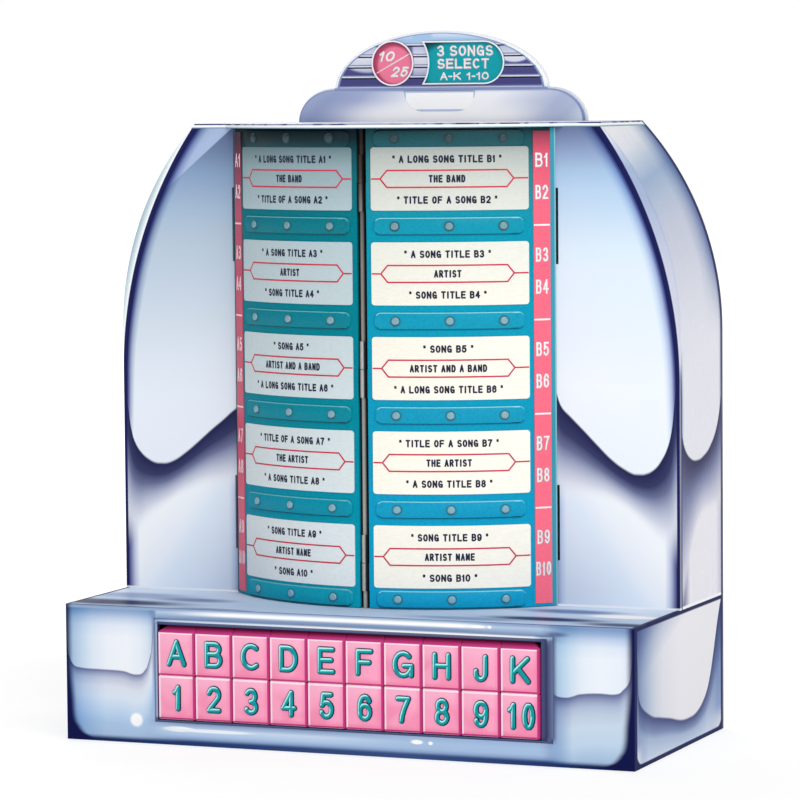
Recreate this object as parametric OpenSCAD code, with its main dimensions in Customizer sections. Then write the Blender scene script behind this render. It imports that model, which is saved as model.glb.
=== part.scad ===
// Tabletop jukebox: a push-button song selector with two hinged title leaves under a hood.
// Origin: centre of the footprint, on the table. +X to the right, +Y to the back, +Z up. Millimetres.

/* [Cabinet] */
// Width over the cabinet sides
cabinet_w = 250; // [240:1:262]
// Depth from the front of the base to the back panel
cabinet_d = 116; // [110:1:130]
// Height of the base deck above the table
deck_h = 57.2; // [56:0.1:62]
// Height of the top of the hood above the table
hood_h = 256; // [254:1:270]
// Thickness of the sheet panels
sheet = 2; // [1.6:0.1:2.4]
// Distance from the front of the base to the upper front panels
setback = 58; // [57:0.1:62]
// Width of the flat top
flat_w = 180; // [172:1:188]
// Distance below the top of the hood where the sides start to arch inwards
arch_drop = 87; // [80:1:96]
// Half width of the opening between the upper front panels
bay_half = 66; // [60:0.5:67]

/* [Underside] */
// Diameter of a rubber foot
foot_d = 16; // [10:1:20]
// Height of a rubber foot, which carries the floor plate
foot_h = 2.5; // [2:0.1:4]
// Gap between the table and the cabinet walls
wall_gap = 0.3; // [0.3:0.1:1]
// Distance of the corner posts from the cabinet's outside
post_inset = 11; // [10:0.5:14]
// Width of a square corner post
post_w = 9; // [8:0.5:11]
// Diameter of the housing screws
screw_d = 2.9; // [2.4:0.1:3.4]
// Diameter of a screw head
screw_head_d = 5.6; // [5:0.1:6.4]
// Length of a housing screw under its head
screw_len = 14; // [10:1:18]

/* [Keys] */
// Width that one key column takes
key_pitch_x = 16.8; // [15.6:0.1:17.2]
// Height that one key row takes
key_pitch_z = 18.2; // [17:0.1:18.6]
// Gap between two key caps
key_gap = 0.4; // [0.2:0.1:0.8]
// Height of the lowest key edge above the table
bank_bottom = 10.7; // [10.5:0.1:12]
// Distance of the middle of the key bank from the middle of the cabinet
bank_shift = 0.8; // [-2:0.1:4]
// Height of the sloped shelf on top of the upper keys
key_slope_h = 2.7; // [1.5:0.1:3]
// Depth of the sloped shelf on top of the upper keys
key_slope_d = 3.5; // [2:0.1:5]
// Width of the mitre at the two outer ends of the sloped shelf
key_mitre = 4.7; // [1:0.1:6]
// Depth of a key cap
key_cap_d = 8; // [7:0.1:9]
// Bevel around the face of a key cap
key_bevel = 0.6; // [0.3:0.1:1]
// Travel of a key
key_travel = 3; // [2:0.1:3.5]
// Width of the square key stem
stem_w = 4; // [3.4:0.1:4.6]
// Clearance on each side of a stem in its guide
stem_clear = 0.15; // [0.1:0.05:0.3]
// Distance from a key cap to the guide plate, which holds the spring
spring_len = 10; // [9:0.5:12]
// Outer diameter of a key spring
spring_d = 7.4; // [7.3:0.1:8]
// Wall of a key spring
spring_wall = 0.6; // [0.4:0.1:0.7]
// Thickness of the guide plate
guide_t = 2; // [1.5:0.1:3]
// Length of the bosses between the guide plate and the switch board
boss_len = 12.4; // [12:0.1:15]
// Height of a key switch on its board
switch_h = 3.5; // [3:0.1:4]
// Width of a key switch
switch_w = 6; // [5:0.1:7]
// Gap between a pressed key's stem and its switch
switch_gap = 0.3; // [0.2:0.1:0.6]
// Thickness of a circuit board
board_t = 1.6; // [1:0.1:2]
// Width of the key window's frame at the left
bezel_left = 1; // [1:0.1:3]
// Width of the key window's frame at the right
bezel_right = 5.5; // [3:0.1:6]
// Width of the key window's frame above the keys
bezel_top = 2.8; // [2:0.1:2.8]
// Width of the key window's frame below the keys
bezel_bottom = 1.2; // [1.2:0.1:2]
// Distance of the frame's face behind the front of the base
bezel_recess = 0.8; // [0.5:0.1:1.2]

/* [Leaves] */
// Radius of the leaves' curved front face
leaf_r = 95; // [91:1:99]
// Distance that the leaves bow out in front of the upper panels
leaf_bow = 33.5; // [32.5:0.1:34.5]
// Thickness of a leaf
leaf_t = 1.6; // [1.2:0.1:2]
// Half of the gap between the two leaves at the spine
spine_gap = 2.1; // [2.1:0.1:2.6]
// Gap between a leaf and the deck, the hood and the upper panels
leaf_gap = 0.3; // [0.3:0.1:0.8]
// Gap between a title card and the rail between it and the next card
card_gap = 2.95; // [2.4:0.05:4]
// Gap between the lowest title card and the rail under it
card_low_gap = 1.2; // [0.1:0.1:3]
// Gap between the highest title card and the rail above it
card_high_gap = 0.1; // [0.1:0.1:3]
// Thickness of a title card and of the index strip
card_t = 0.4; // [0.3:0.1:0.6]
// Where a title card starts, along the curve from the spine
card_from = 4.2; // [4:0.1:6]
// Where a title card ends, along the curve from the spine
card_to = 69.6; // [62:0.1:70]
// Height of a clamping rail
rail_h = 7; // [5:0.1:8]
// Thickness of a clamping rail
rail_t = 0.8; // [0.6:0.1:1]
// Where a rail starts, along the curve from the spine
rail_from = 5.2; // [5:0.1:8]
// Where a rail ends, along the curve from the spine
rail_to = 67.8; // [60:0.1:69]
// Distance from the middle rivet to the outer ones, along the curve
rivet_span = 22.2; // [18:0.1:26]
// Diameter of a rivet head
rivet_head_d = 3.4; // [3:0.1:4]
// Height of a rivet head
rivet_head_h = 0.6; // [0.4:0.1:0.8]
// Diameter of a rivet shank
rivet_d = 1.8; // [1.4:0.1:2]
// Where the index strip starts, along the curve from the spine
index_from = 71.6; // [70.5:0.1:72]
// Where the index strip ends, along the curve from the spine
index_to = 79.2; // [77:0.1:80]
// Height of a latch tab on a leaf's outer edge
latch_h = 30; // [20:1:32]
// Distance from the lower end of a leaf to the middle of its lower latch tab
latch_low_edge = 34; // [28:0.5:38]
// Distance from the upper end of a leaf to the middle of its upper latch tab
latch_high_edge = 40.2; // [34:0.1:48]

/* [Spine] */
// Diameter of the hinge pin
pin_d = 2; // [1.8:0.1:2.2]
// Radial running clearance of a barrel on the pin
pin_clear = 0.06; // [0.03:0.01:0.1]
// Outer diameter of a hinge barrel
barrel_d = 3.6; // [3.4:0.1:3.8]
// Length of a hinge barrel
barrel_len = 11.4; // [9:0.1:13]
// Distance from the lower end of a leaf to the middle of the lower hinge
hinge_low_edge = 18.5; // [15:0.5:22]
// Distance from the upper end of a leaf to the middle of the upper hinge
hinge_high_edge = 21.9; // [18:0.1:28]
// Half width of the post behind the spine
spine_post_half = 4; // [3:0.5:5]
// Depth of the post behind the spine
spine_post_d = 4; // [3:0.5:5]

/* [Hood] */
// Distance that the hood stands out past the leaves
hood_lip = 2.5; // [2.3:0.1:4]
// Width of a fixing lug under the hood
lug_w = 10; // [9:0.5:12]
// Depth of a fixing lug under the hood
lug_d = 9; // [8:0.5:12]
// Distance of a fixing lug from the middle
lug_x = 78; // [76:0.5:80]

/* [Crest] */
// Height of the dome's top above the hood
crest_rise = 38.8; // [37:0.1:44]
// Half width of the dome
dome_half = 49; // [45:0.5:52]
// Height of the shoulder's top above the hood
shoulder_h = 14.5; // [13:0.1:16]
// Half width of the shoulder
shoulder_half = 66.2; // [60:0.1:70]
// Width of the shoulder's rounded corner
shoulder_round = 17; // [10:0.5:20]
// Width of the back panel's rim that shows round the crest
crest_rim = 0.8; // [0.5:0.1:1.2]
// Thickness of the dome plate
dome_t = 1.2; // [1:0.1:1.5]
// Thickness of the shoulder plate
shoulder_t = 2; // [1.6:0.1:2.4]
// Height of the middle of the disc and the window above the hood
sign_z = 25; // [24:0.1:26]
// Distance of the disc to the left of the middle
disc_x = 21.6; // [20:0.1:25]
// Outer diameter of the disc
disc_d = 19.4; // [16:0.1:20]
// Width of the raised rim round the disc and the window
sign_rim = 0.6; // [0.4:0.1:0.8]
// Radius of the window's hollow left side, about the middle of the disc
window_hollow = 16.4; // [14:0.1:18]
// Distance from the middle to the right end of the window
window_right = 29.6; // [26:0.1:30]
// Height of the window
window_h = 18.5; // [14:0.1:19]
// Height of the grooves across the dome
groove_h = 0.6; // [0.4:0.1:0.8]
// Height from one groove to the next
groove_pitch = 4.55; // [4:0.05:5]
// Half width of the coin plate
coin_half = 16.3; // [12:0.1:18]
// Height of the coin plate
coin_h = 8.7; // [6:0.1:9]
// Distance of the coin plate's top below the shoulder's top
coin_drop = 1.4; // [1:0.1:3]

/* [Inside] */
// Gap between the speaker and the light box
speaker_gap = 2.8; // [1:0.1:6]
// Wall of the light box
light_box_t = 1.2; // [0.8:0.1:1.6]
// Half width of the light box
light_box_half = 78; // [74:0.5:80]
// Diameter of the lamp tube
lamp_d = 12; // [10:0.5:13]
// Length of the lamp tube
lamp_len = 112; // [90:1:120]
// Distance of the lamp tube below the top of the hood
lamp_drop = 18; // [14:0.5:24]
// Diameter of the speaker's flange
speaker_d = 96; // [80:1:100]
// Depth of the speaker
speaker_depth = 28; // [24:0.5:28.5]
// Diameter of the speaker's magnet
magnet_d = 44; // [36:1:48]
// Height of one slot of the speaker grille
grille_slot = 4; // [3:0.1:4.5]
// Height from one grille slot to the next
grille_pitch = 8; // [7:0.1:9]
// Width of the sound board
sound_w = 100; // [80:1:110]
// Depth of the sound board
sound_d = 50; // [40:1:54]
// Height of the posts under the sound board
sound_post_h = 5; // [4:0.1:8]
// Outer diameter of the cable gland
gland_d = 12; // [10:0.5:14]
// Bore of the cable gland
gland_bore = 4.6; // [4:0.1:6]

/* [Hidden] */

// Smoothness of true round surfaces
$fn = 96;
// Straight steps that an arch or an oval is drawn with
arch_steps = 24;
// Clearance between fixed pieces that slip into each other
fit = 0.1;
// Length that a cut runs past the faces it goes through
over = 1;

// Cabinet planes
half_w = cabinet_w / 2;
front_y = -cabinet_d / 2;
back_y = cabinet_d / 2;
back_in = back_y - sheet;
panel_y = front_y + setback;
panel_top = hood_h - sheet;
deck_under = deck_h - sheet;
floor_top = foot_h + sheet;
// The arch's start, and its radius from the upright side into the end of the flat top
arch_start = hood_h - arch_drop;
arch_in = half_w - flat_w / 2;
arch_r = (arch_in * arch_in + arch_drop * arch_drop) / (2 * arch_in);

// Corner posts and what is screwed to them
post_x = half_w - post_inset;
post_y = cabinet_d / 2 - post_inset;
// The feet stand this far inside the corner posts
foot_step = 13;
screw_head_h = 1.6;
// Depth of the countersinks in the back panel
screw_sink = 1.4;
// Height of the lower back screws
back_screw_low = 30;
// Hole in the deck for the lamp's wires
wire_x = 60;
wire_y = 40;
wire_d = 12;

// Key bank
key_columns = 10;
key_rows = 2;
bank_w = key_columns * key_pitch_x;
bank_left = bank_shift - bank_w / 2;
bank_right = bank_shift + bank_w / 2;
bank_top = bank_bottom + key_rows * key_pitch_z + key_slope_h - key_gap / 2;
// Clearance all round the bank of keys in its frame
bank_clear = 0.4;
// The frame's flange behind the front wall, and its gap to the deck
bezel_flange = 4;
bezel_flange_t = 1.5;
bezel_deck_gap = 0.2;
// The frame's inner step stands this far in front of the flange
bezel_step = 0.4;

// Depths of what is behind the keys
key_back = front_y + key_cap_d;
guide_y = key_back + spring_len;
guide_back = guide_y + guide_t;
board_y = guide_back + boss_len;
stem_end = board_y - switch_h - switch_gap - key_travel;
// Snap barb that keeps a stem behind its guide, and its distance from the guide
barb = 0.5;
// The guide plate and the switch board reach this far past the bank of keys
guide_margin = 9;
// Round supports under the boards, and their distance from a board's edge
support_d = 6;
support_inset = 6;
board_edge_gap = 1;

// Leaf planes
leaf_front = panel_y - leaf_bow;
leaf_cy = leaf_front + leaf_r;
leaf_low = deck_h + leaf_gap;
leaf_high = panel_top - leaf_gap;
// Where a leaf's face ends in front of the upper panels, and the edge it is cut from
leaf_end_x = sqrt(leaf_r * leaf_r - pow(leaf_cy - panel_y + leaf_gap, 2));
leaf_end_s = leaf_r * asin((leaf_end_x + 1) / leaf_r) * PI / 180;
// Distance of the end rails and of the index strip from the leaf's ends
rail_end_gap = 0.3;
index_end_gap = 1.2;
// Rows of title cards, which share the height between the end rails
card_rows = 5;
card_room = leaf_high - leaf_low - 2 * (rail_end_gap + rail_h) - card_low_gap - card_high_gap;
rail_room = rail_h + 2 * card_gap;
card_h = (card_room - (card_rows - 1) * rail_room) / card_rows;
card_pitch = card_h + rail_room;
rivet_clear = 0.05;
// Adhesive film between a leaf and what lies on it
film_t = 0.05;

// Leaf hinge
pin_y = leaf_front + leaf_t / 2;
barrel_gap = 0.3;
hinge_heights = [leaf_low + hinge_low_edge, (leaf_low + leaf_high) / 2, leaf_high - hinge_high_edge];
// How far the hinge pin reaches into the hood, and its head under the deck
pin_top_depth = 1.4;
pin_head_d = 4;
pin_head_h = 1;

// Latch tabs: thickness, reach behind the panel, distance from the leaf's edge, room in the notch
latch_t = 1.4;
latch_reach = 1.4;
latch_inset = 1;
latch_room = 0.6;
notch_x = leaf_end_x + 1;
latch_heights = [leaf_low + latch_low_edge, leaf_high - latch_high_edge];

// Hood lugs and their screws
lug_h = 12;
lug_screw_z = panel_top - lug_h / 2;

// Crest
crest_h = hood_h + crest_rise;
disc_z = hood_h + sign_z;
shoulder_top = hood_h + shoulder_h;
dome_foot_z = shoulder_top - 1;
groove_count = 4;
groove_cut = 0.4;
// The coin plate's face lies this far behind the shoulder's
coin_recess = 0.3;

// Light box wall, and the lamp in the middle between it and the upper panels
light_box_y = back_in - speaker_depth - speaker_gap - light_box_t;
lamp_y = (panel_y + sheet + light_box_y) / 2;
lamp_z = hood_h - lamp_drop;
lamp_pin_d = 2;
lamp_pin_off = 2.5;
lamp_pin_len = 4;
holder_w = 7;
holder_edge = 2;
holder_gap = 0.2;

// Speaker: its height, flange, basket wall, magnet and cone
speaker_z = (deck_h + panel_top) / 2;
flange_w = 8;
flange_t = 2.5;
basket_t = 1.2;
magnet_h = 9;
cone_t = 0.8;
cone_roll = 4;
throat_h = 3;
cap_rise = 2;
cone_floor = speaker_depth - magnet_h - basket_t - 0.3;
// Slots above and below the middle one, and the circle that they end on
grille_rows = 4;
grille_r = (grille_rows + 0.9) * grille_pitch;

// Sound board: its middle, and the size of its heat sink and capacitors
sound_x = -20;
sound_y = 16;
sink_size = [30, 10, 16];
cap_d = 12;
cap_h = 18;
cap_pitch = 16;
part_edge = 8;

// Cable gland
gland_x = 60;
gland_z = 20;
gland_flange_d = gland_d + 4;
gland_flange_t = 2;

// Angle of the distance s along the leaf curve from the spine
function leaf_deg(s) = s / leaf_r * 180 / PI;
function card_z(k) = leaf_low + rail_end_gap + rail_h + card_low_gap + card_h / 2 + k * card_pitch;
// Middle heights of the rails: one below each card and one above the highest
function rail_z(k) = k == 0 ? leaf_low + rail_h / 2 + rail_end_gap
                   : k == card_rows ? leaf_high - rail_h / 2 - rail_end_gap
                   : card_z(k) - card_pitch / 2;
function rivet_s(k) = (rail_from + rail_to) / 2 + k * rivet_span;
function key_x(c) = bank_left + (c + 0.5) * key_pitch_x;
function key_z(r) = bank_bottom + (r + 0.5) * key_pitch_z;

// Right-hand outline from the arch's start up to a height, drawn in by an inset
function arch_side(top, inset = 0) =
    let (r = arch_r - inset, a = asin((top - arch_start) / r))
    [for (i = [0 : arch_steps])
        [half_w - arch_r + r * cos(a * i / arch_steps), arch_start + r * sin(a * i / arch_steps)]];

// Part of an oval with the centre c and half axes a and b, between two angles
function oval(c, a, b, from, to) =
    [for (i = [0 : arch_steps]) let (t = from + (to - from) * i / arch_steps)
        [c.x + a * cos(t), c.y + b * sin(t)]];

// The same outline turned over to the left side, in reverse order
function mirrored(points) = [for (i = [len(points) - 1 : -1 : 0]) [-points[i].x, points[i].y]];

function dome_side(inset) =
    let (a = dome_half - inset, b = crest_h - dome_foot_z - inset,
         low = asin((shoulder_top - dome_foot_z) / b))
    oval([0, dome_foot_z], a, b, low, 90);

function shoulder_side(inset) =
    oval([shoulder_half - shoulder_round, hood_h], shoulder_round - inset, shoulder_h - inset, 0, 90);

// Window outline: hollow on the left, round on the right
function window_outline(inset) =
    let (h = window_h / 2 - inset, r = window_hollow + inset, a = asin(h / r))
    concat([for (i = [0 : arch_steps]) let (t = a - 2 * a * i / arch_steps)
                [-disc_x + r * cos(t), disc_z + r * sin(t)]],
           oval([window_right - window_h / 2, disc_z], h, h, -90, 90));

// Coin plate outline: flat on top, with round lower corners
function coin_outline(grow) =
    let (top = shoulder_top - coin_drop + grow,
         low = oval([coin_half - coin_h, shoulder_top - coin_drop], coin_h + grow, coin_h + grow, -90, 0))
    concat(low, [[coin_half + grow, top], [-coin_half - grow, top]], mirrored(low));

module block(low, high) {
    translate(low) cube(high - low);
}

// Plate with its outline in the X-Z plane, between two depths
module upright(points, y0, y1) {
    translate([0, y1, 0]) rotate([90, 0, 0]) linear_extrude(y1 - y0) polygon(points);
}

// Round bar along +Y
module bar_y(x, z, y0, y1, d) {
    translate([x, y0, z]) rotate([-90, 0, 0]) cylinder(d = d, h = y1 - y0);
}

// Part of a curved leaf layer, between two distances along the curve from the spine
module leaf_layer(r0, r1, s0, s1, z0, z1) {
    translate([0, leaf_cy, z0]) rotate([0, 0, leaf_deg(s0) - 90])
        rotate_extrude(angle = leaf_deg(s1 - s0), $fn = 180)
            translate([r0, 0]) square([r1 - r0, z1 - z0]);
}

// Bar that stands square to the leaf curve
module leaf_stud(s, z, r0, r1, d) {
    translate([0, leaf_cy, z]) rotate([0, 0, leaf_deg(s) - 90]) rotate([0, 90, 0])
        translate([0, 0, r0]) cylinder(d = d, h = r1 - r0, $fn = 32);
}

module handed(side) {
    if (side < 0) mirror([1, 0, 0]) children();
    else children();
}

module at_corners(x, y) {
    for (sx = [-1, 1], sy = [-1, 1]) translate([sx * x, sy * y, 0]) children();
}

// Base: deck, front and side walls in one shell, with corner posts for the floor screws
module base_housing() {
    color("lightsteelblue") difference() {
        union() {
            block([-half_w, front_y, deck_under], [half_w, back_in, deck_h]);
            block([-half_w, front_y, wall_gap], [half_w, front_y + sheet, deck_under]);
            for (side = [-1, 1]) handed(side)
                block([half_w - sheet, front_y + sheet, wall_gap], [half_w, back_in, deck_under]);
            at_corners(post_x, post_y)
                block([-post_w / 2, -post_w / 2, floor_top], [post_w / 2, post_w / 2, deck_under]);
            for (side = [-1, 1]) handed(side)
                block([post_x - post_w / 2, post_y, floor_top], [post_x + post_w / 2, back_in, deck_under]);
        }
        block([bank_left - bank_clear - bezel_left, front_y - over, bank_bottom - bezel_bottom],
              [bank_right + bank_clear + bezel_right, front_y + sheet + over,
               bank_top + bank_clear + bezel_top]);
        at_corners(post_x, post_y) translate([0, 0, floor_top - over])
            cylinder(d = screw_d + fit, h = screw_len);
        for (side = [-1, 1])
            bar_y(side * post_x, back_screw_low, back_in - screw_len, back_in + over, screw_d + fit);
        translate([0, pin_y, deck_under - over])
            cylinder(d = pin_d + 2 * rivet_clear, h = sheet + 2 * over);
        translate([wire_x, wire_y, deck_under - over]) cylinder(d = wire_d, h = sheet + 2 * over);
    }
}

// Floor plate inside the walls, with posts for the sound board
module base_floor() {
    color("dimgray") difference() {
        union() {
            block([-half_w + sheet + fit, front_y + sheet + fit, foot_h],
                  [half_w - sheet - fit, back_in - fit, floor_top]);
            translate([sound_x, sound_y, floor_top])
                at_corners(sound_w / 2 - support_inset, sound_d / 2 - support_inset)
                    cylinder(d = support_d, h = sound_post_h);
        }
        at_corners(post_x, post_y) translate([0, 0, foot_h - over])
            cylinder(d = screw_d + 2 * fit, h = sheet + 2 * over);
    }
}

module feet() {
    color("black") at_corners(post_x - foot_step, post_y - foot_step) cylinder(d = foot_d, h = foot_h);
}

module floor_screws() {
    color("silver") at_corners(post_x, post_y) translate([0, 0, foot_h - screw_head_h]) {
        cylinder(d = screw_head_d, h = screw_head_h);
        cylinder(d = screw_d, h = screw_len);
    }
}

// Stepped frame round the bank of keys, seated on the inside of the front wall
module key_bezel() {
    left = bank_left - bank_clear;
    right = bank_right + bank_clear;
    low = bank_bottom - bank_clear;
    high = bank_top + bank_clear;
    seat = front_y + sheet;
    step = (bezel_top - fit) / 2;
    color("slateblue") difference() {
        union() {
            block([left - bezel_left + fit, front_y + bezel_recess, bank_bottom - bezel_bottom + fit],
                  [right + bezel_right - fit, seat, high + bezel_top - fit]);
            block([left - bezel_left - bezel_flange, seat, bank_bottom - bezel_bottom - bezel_flange],
                  [right + bezel_right + bezel_flange, seat + bezel_flange_t, deck_under - bezel_deck_gap]);
        }
        block([left, front_y - over, low], [right, seat + bezel_flange_t + over, high]);
        block([left, front_y, low], [right + bezel_right / 2, seat - bezel_step, high + step]);
    }
}

// Plate that the key stems slide through, with four round supports for the switch board
module key_guide() {
    color("gray") difference() {
        union() {
            block([bank_left - guide_margin, guide_y, floor_top],
                  [bank_right + guide_margin, guide_back, deck_under]);
            for (x = [bank_left - guide_margin / 2, bank_right + guide_margin / 2],
                 z = [floor_top + support_inset, deck_under - support_inset])
                bar_y(x, z, guide_back, board_y, support_d);
        }
        for (c = [0 : key_columns - 1], r = [0 : key_rows - 1])
            translate([key_x(c), guide_y, key_z(r)])
                block([-stem_w / 2 - stem_clear, -over, -stem_w / 2 - stem_clear],
                      [stem_w / 2 + stem_clear, guide_t + over, stem_w / 2 + stem_clear]);
    }
}

// Return springs round the key stems, as sleeves
module key_springs() {
    color("silver") for (c = [0 : key_columns - 1], r = [0 : key_rows - 1]) difference() {
        bar_y(key_x(c), key_z(r), key_back, guide_y, spring_d);
        bar_y(key_x(c), key_z(r), key_back - over, guide_y + over, spring_d - 2 * spring_wall);
    }
}

module switch_board() {
    color("darkgreen") block([bank_left - guide_margin, board_y, floor_top + board_edge_gap],
                             [bank_right + guide_margin, board_y + board_t, deck_under - board_edge_gap]);
}

module key_switches() {
    color("black") for (c = [0 : key_columns - 1], r = [0 : key_rows - 1])
        translate([key_x(c), board_y, key_z(r)])
            block([-switch_w / 2, -switch_h, -switch_w / 2], [switch_w / 2, 0, switch_w / 2]);
}

// Key cap with a bevelled face; the upper row carries a sloped shelf, mitred at its outer ends
module key(column, row) {
    half = (key_pitch_x - key_gap) / 2;
    low = -key_pitch_z / 2 + key_gap / 2;
    face = key_pitch_z / 2 - key_gap / 2;
    top = row == 1 ? face + key_slope_h : face;
    shelf_left = column == 0 && row == 1 ? key_mitre - half : -half;
    shelf_right = column == key_columns - 1 && row == 1 ? half - key_mitre : half;
    front_edge = row == 1 ? [[key_slope_d, top], [0, face]] : [[key_bevel, face], [0, face - key_bevel]];
    side_view = concat([[0, low + key_bevel], [key_bevel, low], [key_cap_d, low], [key_cap_d, top]],
                       front_edge);
    plan = [[key_bevel - half, 0], [half - key_bevel, 0], [half, key_bevel], [half, key_cap_d],
            [-half, key_cap_d], [-half, key_bevel]];
    front_view = [[-half, low], [half, low], [half, face], [shelf_right, top], [shelf_left, top],
                  [-half, face]];
    color("hotpink") translate([key_x(column), front_y, key_z(row)]) {
        intersection() {
            translate([-half, 0, 0]) rotate([90, 0, 90]) linear_extrude(2 * half) polygon(side_view);
            translate([0, 0, low]) linear_extrude(top - low) polygon(plan);
            upright(front_view, 0, key_cap_d);
        }
        block([-stem_w / 2, key_cap_d, -stem_w / 2], [stem_w / 2, stem_end - front_y, stem_w / 2]);
        block([-stem_w / 2 - barb, guide_back - front_y + barb, -stem_w / 2],
              [stem_w / 2 + barb, guide_back - front_y + 3 * barb, stem_w / 2]);
    }
}

// Upper front panel beside the leaves, with two notches for the leaf latches
module cheek(side) {
    outline = concat([[bay_half, deck_h], [half_w, deck_h]], arch_side(panel_top),
                     [[bay_half, panel_top]]);
    color("lightsteelblue") handed(side) difference() {
        upright(outline, panel_y, panel_y + sheet);
        for (z = latch_heights)
            block([bay_half - over, panel_y - over, z - latch_h / 2 - latch_room],
                  [notch_x, panel_y + sheet + over, z + latch_h / 2 + latch_room]);
    }
}

// Side skin from the deck up the arch, between the upper front panel and the back panel
module side_band(side) {
    outer = concat([[half_w, deck_h]], arch_side(panel_top));
    inner = concat([[half_w - sheet, deck_h]], arch_side(panel_top, sheet));
    color("lavender") handed(side)
        upright(concat(outer, [for (i = [len(inner) - 1 : -1 : 0]) inner[i]]), panel_y + sheet, back_in);
}

// Back panel from the table edge up to the crest, with the speaker grille
module back_panel() {
    right = concat([[half_w, wall_gap]], arch_side(hood_h), shoulder_side(0), dome_side(0));
    color("lavender") difference() {
        upright(concat(right, mirrored(right)), back_in, back_y);
        for (k = [-grille_rows : grille_rows]) grille_opening(k);
        for (side = [-1, 1], p = [[post_x, back_screw_low], [lug_x, lug_screw_z]])
            screw_hole(side * p.x, p.y);
        bar_y(gland_x, gland_z, back_in - over, back_y + over, gland_d + fit);
    }
}

// One slot of the round speaker grille, as long as the circle is wide there
module grille_opening(k) {
    half = sqrt(grille_r * grille_r - pow(k * grille_pitch, 2));
    block([-half, back_in - over, speaker_z + k * grille_pitch - grille_slot / 2],
          [half, back_y + over, speaker_z + k * grille_pitch + grille_slot / 2]);
}

// Countersunk hole through the back panel
module screw_hole(x, z) {
    bar_y(x, z, back_in - over, back_y + over, screw_d + 2 * fit);
    translate([x, back_y, z]) rotate([90, 0, 0])
        cylinder(d1 = screw_head_d + 2 * fit, d2 = screw_d + 2 * fit, h = screw_sink);
}

// Countersunk screws, flush with the back panel
module back_screws() {
    color("silver") for (side = [-1, 1], p = [[post_x, back_screw_low], [lug_x, lug_screw_z]])
        translate([side * p.x, back_y, p.y]) rotate([90, 0, 0]) {
            cylinder(d1 = screw_head_d, d2 = screw_d, h = screw_sink);
            cylinder(d = screw_d, h = lug_d);
        }
}

// Hood plate that bows out over the leaves, with a lug at each rear corner
module hood() {
    low_half = arch_side(panel_top)[arch_steps].x;
    color("white") difference() {
        union() {
            upright([[-low_half, panel_top], [low_half, panel_top],
                     [flat_w / 2, hood_h], [-flat_w / 2, hood_h]], panel_y, back_in);
            intersection() {
                translate([0, leaf_cy, panel_top]) cylinder(r = leaf_r + hood_lip, h = sheet, $fn = 180);
                block([-half_w, front_y, panel_top], [half_w, panel_y, hood_h]);
            }
            for (side = [-1, 1]) handed(side)
                block([lug_x - lug_w / 2, back_in - lug_d, panel_top - lug_h],
                      [lug_x + lug_w / 2, back_in, panel_top]);
        }
        for (side = [-1, 1])
            bar_y(side * lug_x, lug_screw_z, back_in - lug_d - over, back_in + over, screw_d + fit);
        translate([0, pin_y, panel_top - over])
            cylinder(d = pin_d + 2 * rivet_clear, h = pin_top_depth + over);
    }
}

// Half oval of the crest, grooved across, with openings for the disc and the window
module dome_plate() {
    right = dome_side(crest_rim);
    color("slateblue") difference() {
        upright(concat(right, mirrored(right)), back_in - dome_t, back_in);
        bar_y(-disc_x, disc_z, back_in - dome_t - over, back_in + over, disc_d + 2 * fit);
        upright(window_outline(-fit), back_in - dome_t - over, back_in + over);
        for (k = [1 : groove_count])
            block([-dome_half, back_in - dome_t - over, shoulder_top + k * groove_pitch - groove_h],
                  [dome_half, back_in - dome_t + groove_cut, shoulder_top + k * groove_pitch]);
    }
}

// Plate under the dome with rounded ends, cut out for the coin plate
module shoulder_plate() {
    side = shoulder_side(crest_rim);
    top = shoulder_top - crest_rim;
    right = concat(side, [[dome_half, top]], [[dome_half - crest_rim, shoulder_top]]);
    color("lightsteelblue") difference() {
        upright(concat(right, mirrored(right)), back_in - shoulder_t, back_in);
        upright(coin_outline(fit), back_in - shoulder_t - over, back_in + over);
    }
}

// Disc and window: a sunk field inside a raised rim
module price_disc() {
    color("palevioletred") difference() {
        bar_y(-disc_x, disc_z, back_in - dome_t - sign_rim, back_in, disc_d);
        bar_y(-disc_x, disc_z, back_in - dome_t - over, back_in - dome_t / 2, disc_d - 2 * sign_rim);
    }
}

module price_window() {
    color("teal") difference() {
        upright(window_outline(0), back_in - dome_t - sign_rim, back_in);
        upright(window_outline(sign_rim), back_in - dome_t - over, back_in - dome_t / 2);
    }
}

module coin_plate() {
    color("whitesmoke") upright(coin_outline(0), back_in - shoulder_t + coin_recess, back_in);
}

// Fixed hinge pin, with its head under the deck and its end in the hood
module spine_pin() {
    color("silver") translate([0, pin_y, deck_under - pin_head_h]) {
        cylinder(d = pin_d, h = panel_top + pin_top_depth - deck_under + pin_head_h);
        cylinder(d = pin_head_d, h = pin_head_h);
    }
}

// Dark post behind the gap between the leaves
module spine_post() {
    y = pin_y + barrel_d / 2 + leaf_gap;
    color("black")
        block([-spine_post_half, y, deck_h], [spine_post_half, y + spine_post_d, panel_top]);
}

// White-lined box behind the leaves, folded forward to the upper panels
module light_box() {
    color("white") {
        block([-light_box_half, light_box_y, deck_h], [light_box_half, light_box_y + light_box_t, panel_top]);
        for (side = [-1, 1]) handed(side)
            block([light_box_half - light_box_t, panel_y + sheet, deck_h],
                  [light_box_half, light_box_y, panel_top]);
    }
}

module lamp_tube() {
    color("ivory") for (side = [-1, 1]) handed(side) {
        translate([0, lamp_y, lamp_z]) rotate([0, 90, 0]) cylinder(d = lamp_d, h = lamp_len / 2);
        for (k = [-1, 1]) translate([lamp_len / 2, lamp_y, lamp_z + k * lamp_pin_off])
            rotate([0, 90, 0]) cylinder(d = lamp_pin_d, h = lamp_pin_len, $fn = 24);
    }
}

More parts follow.
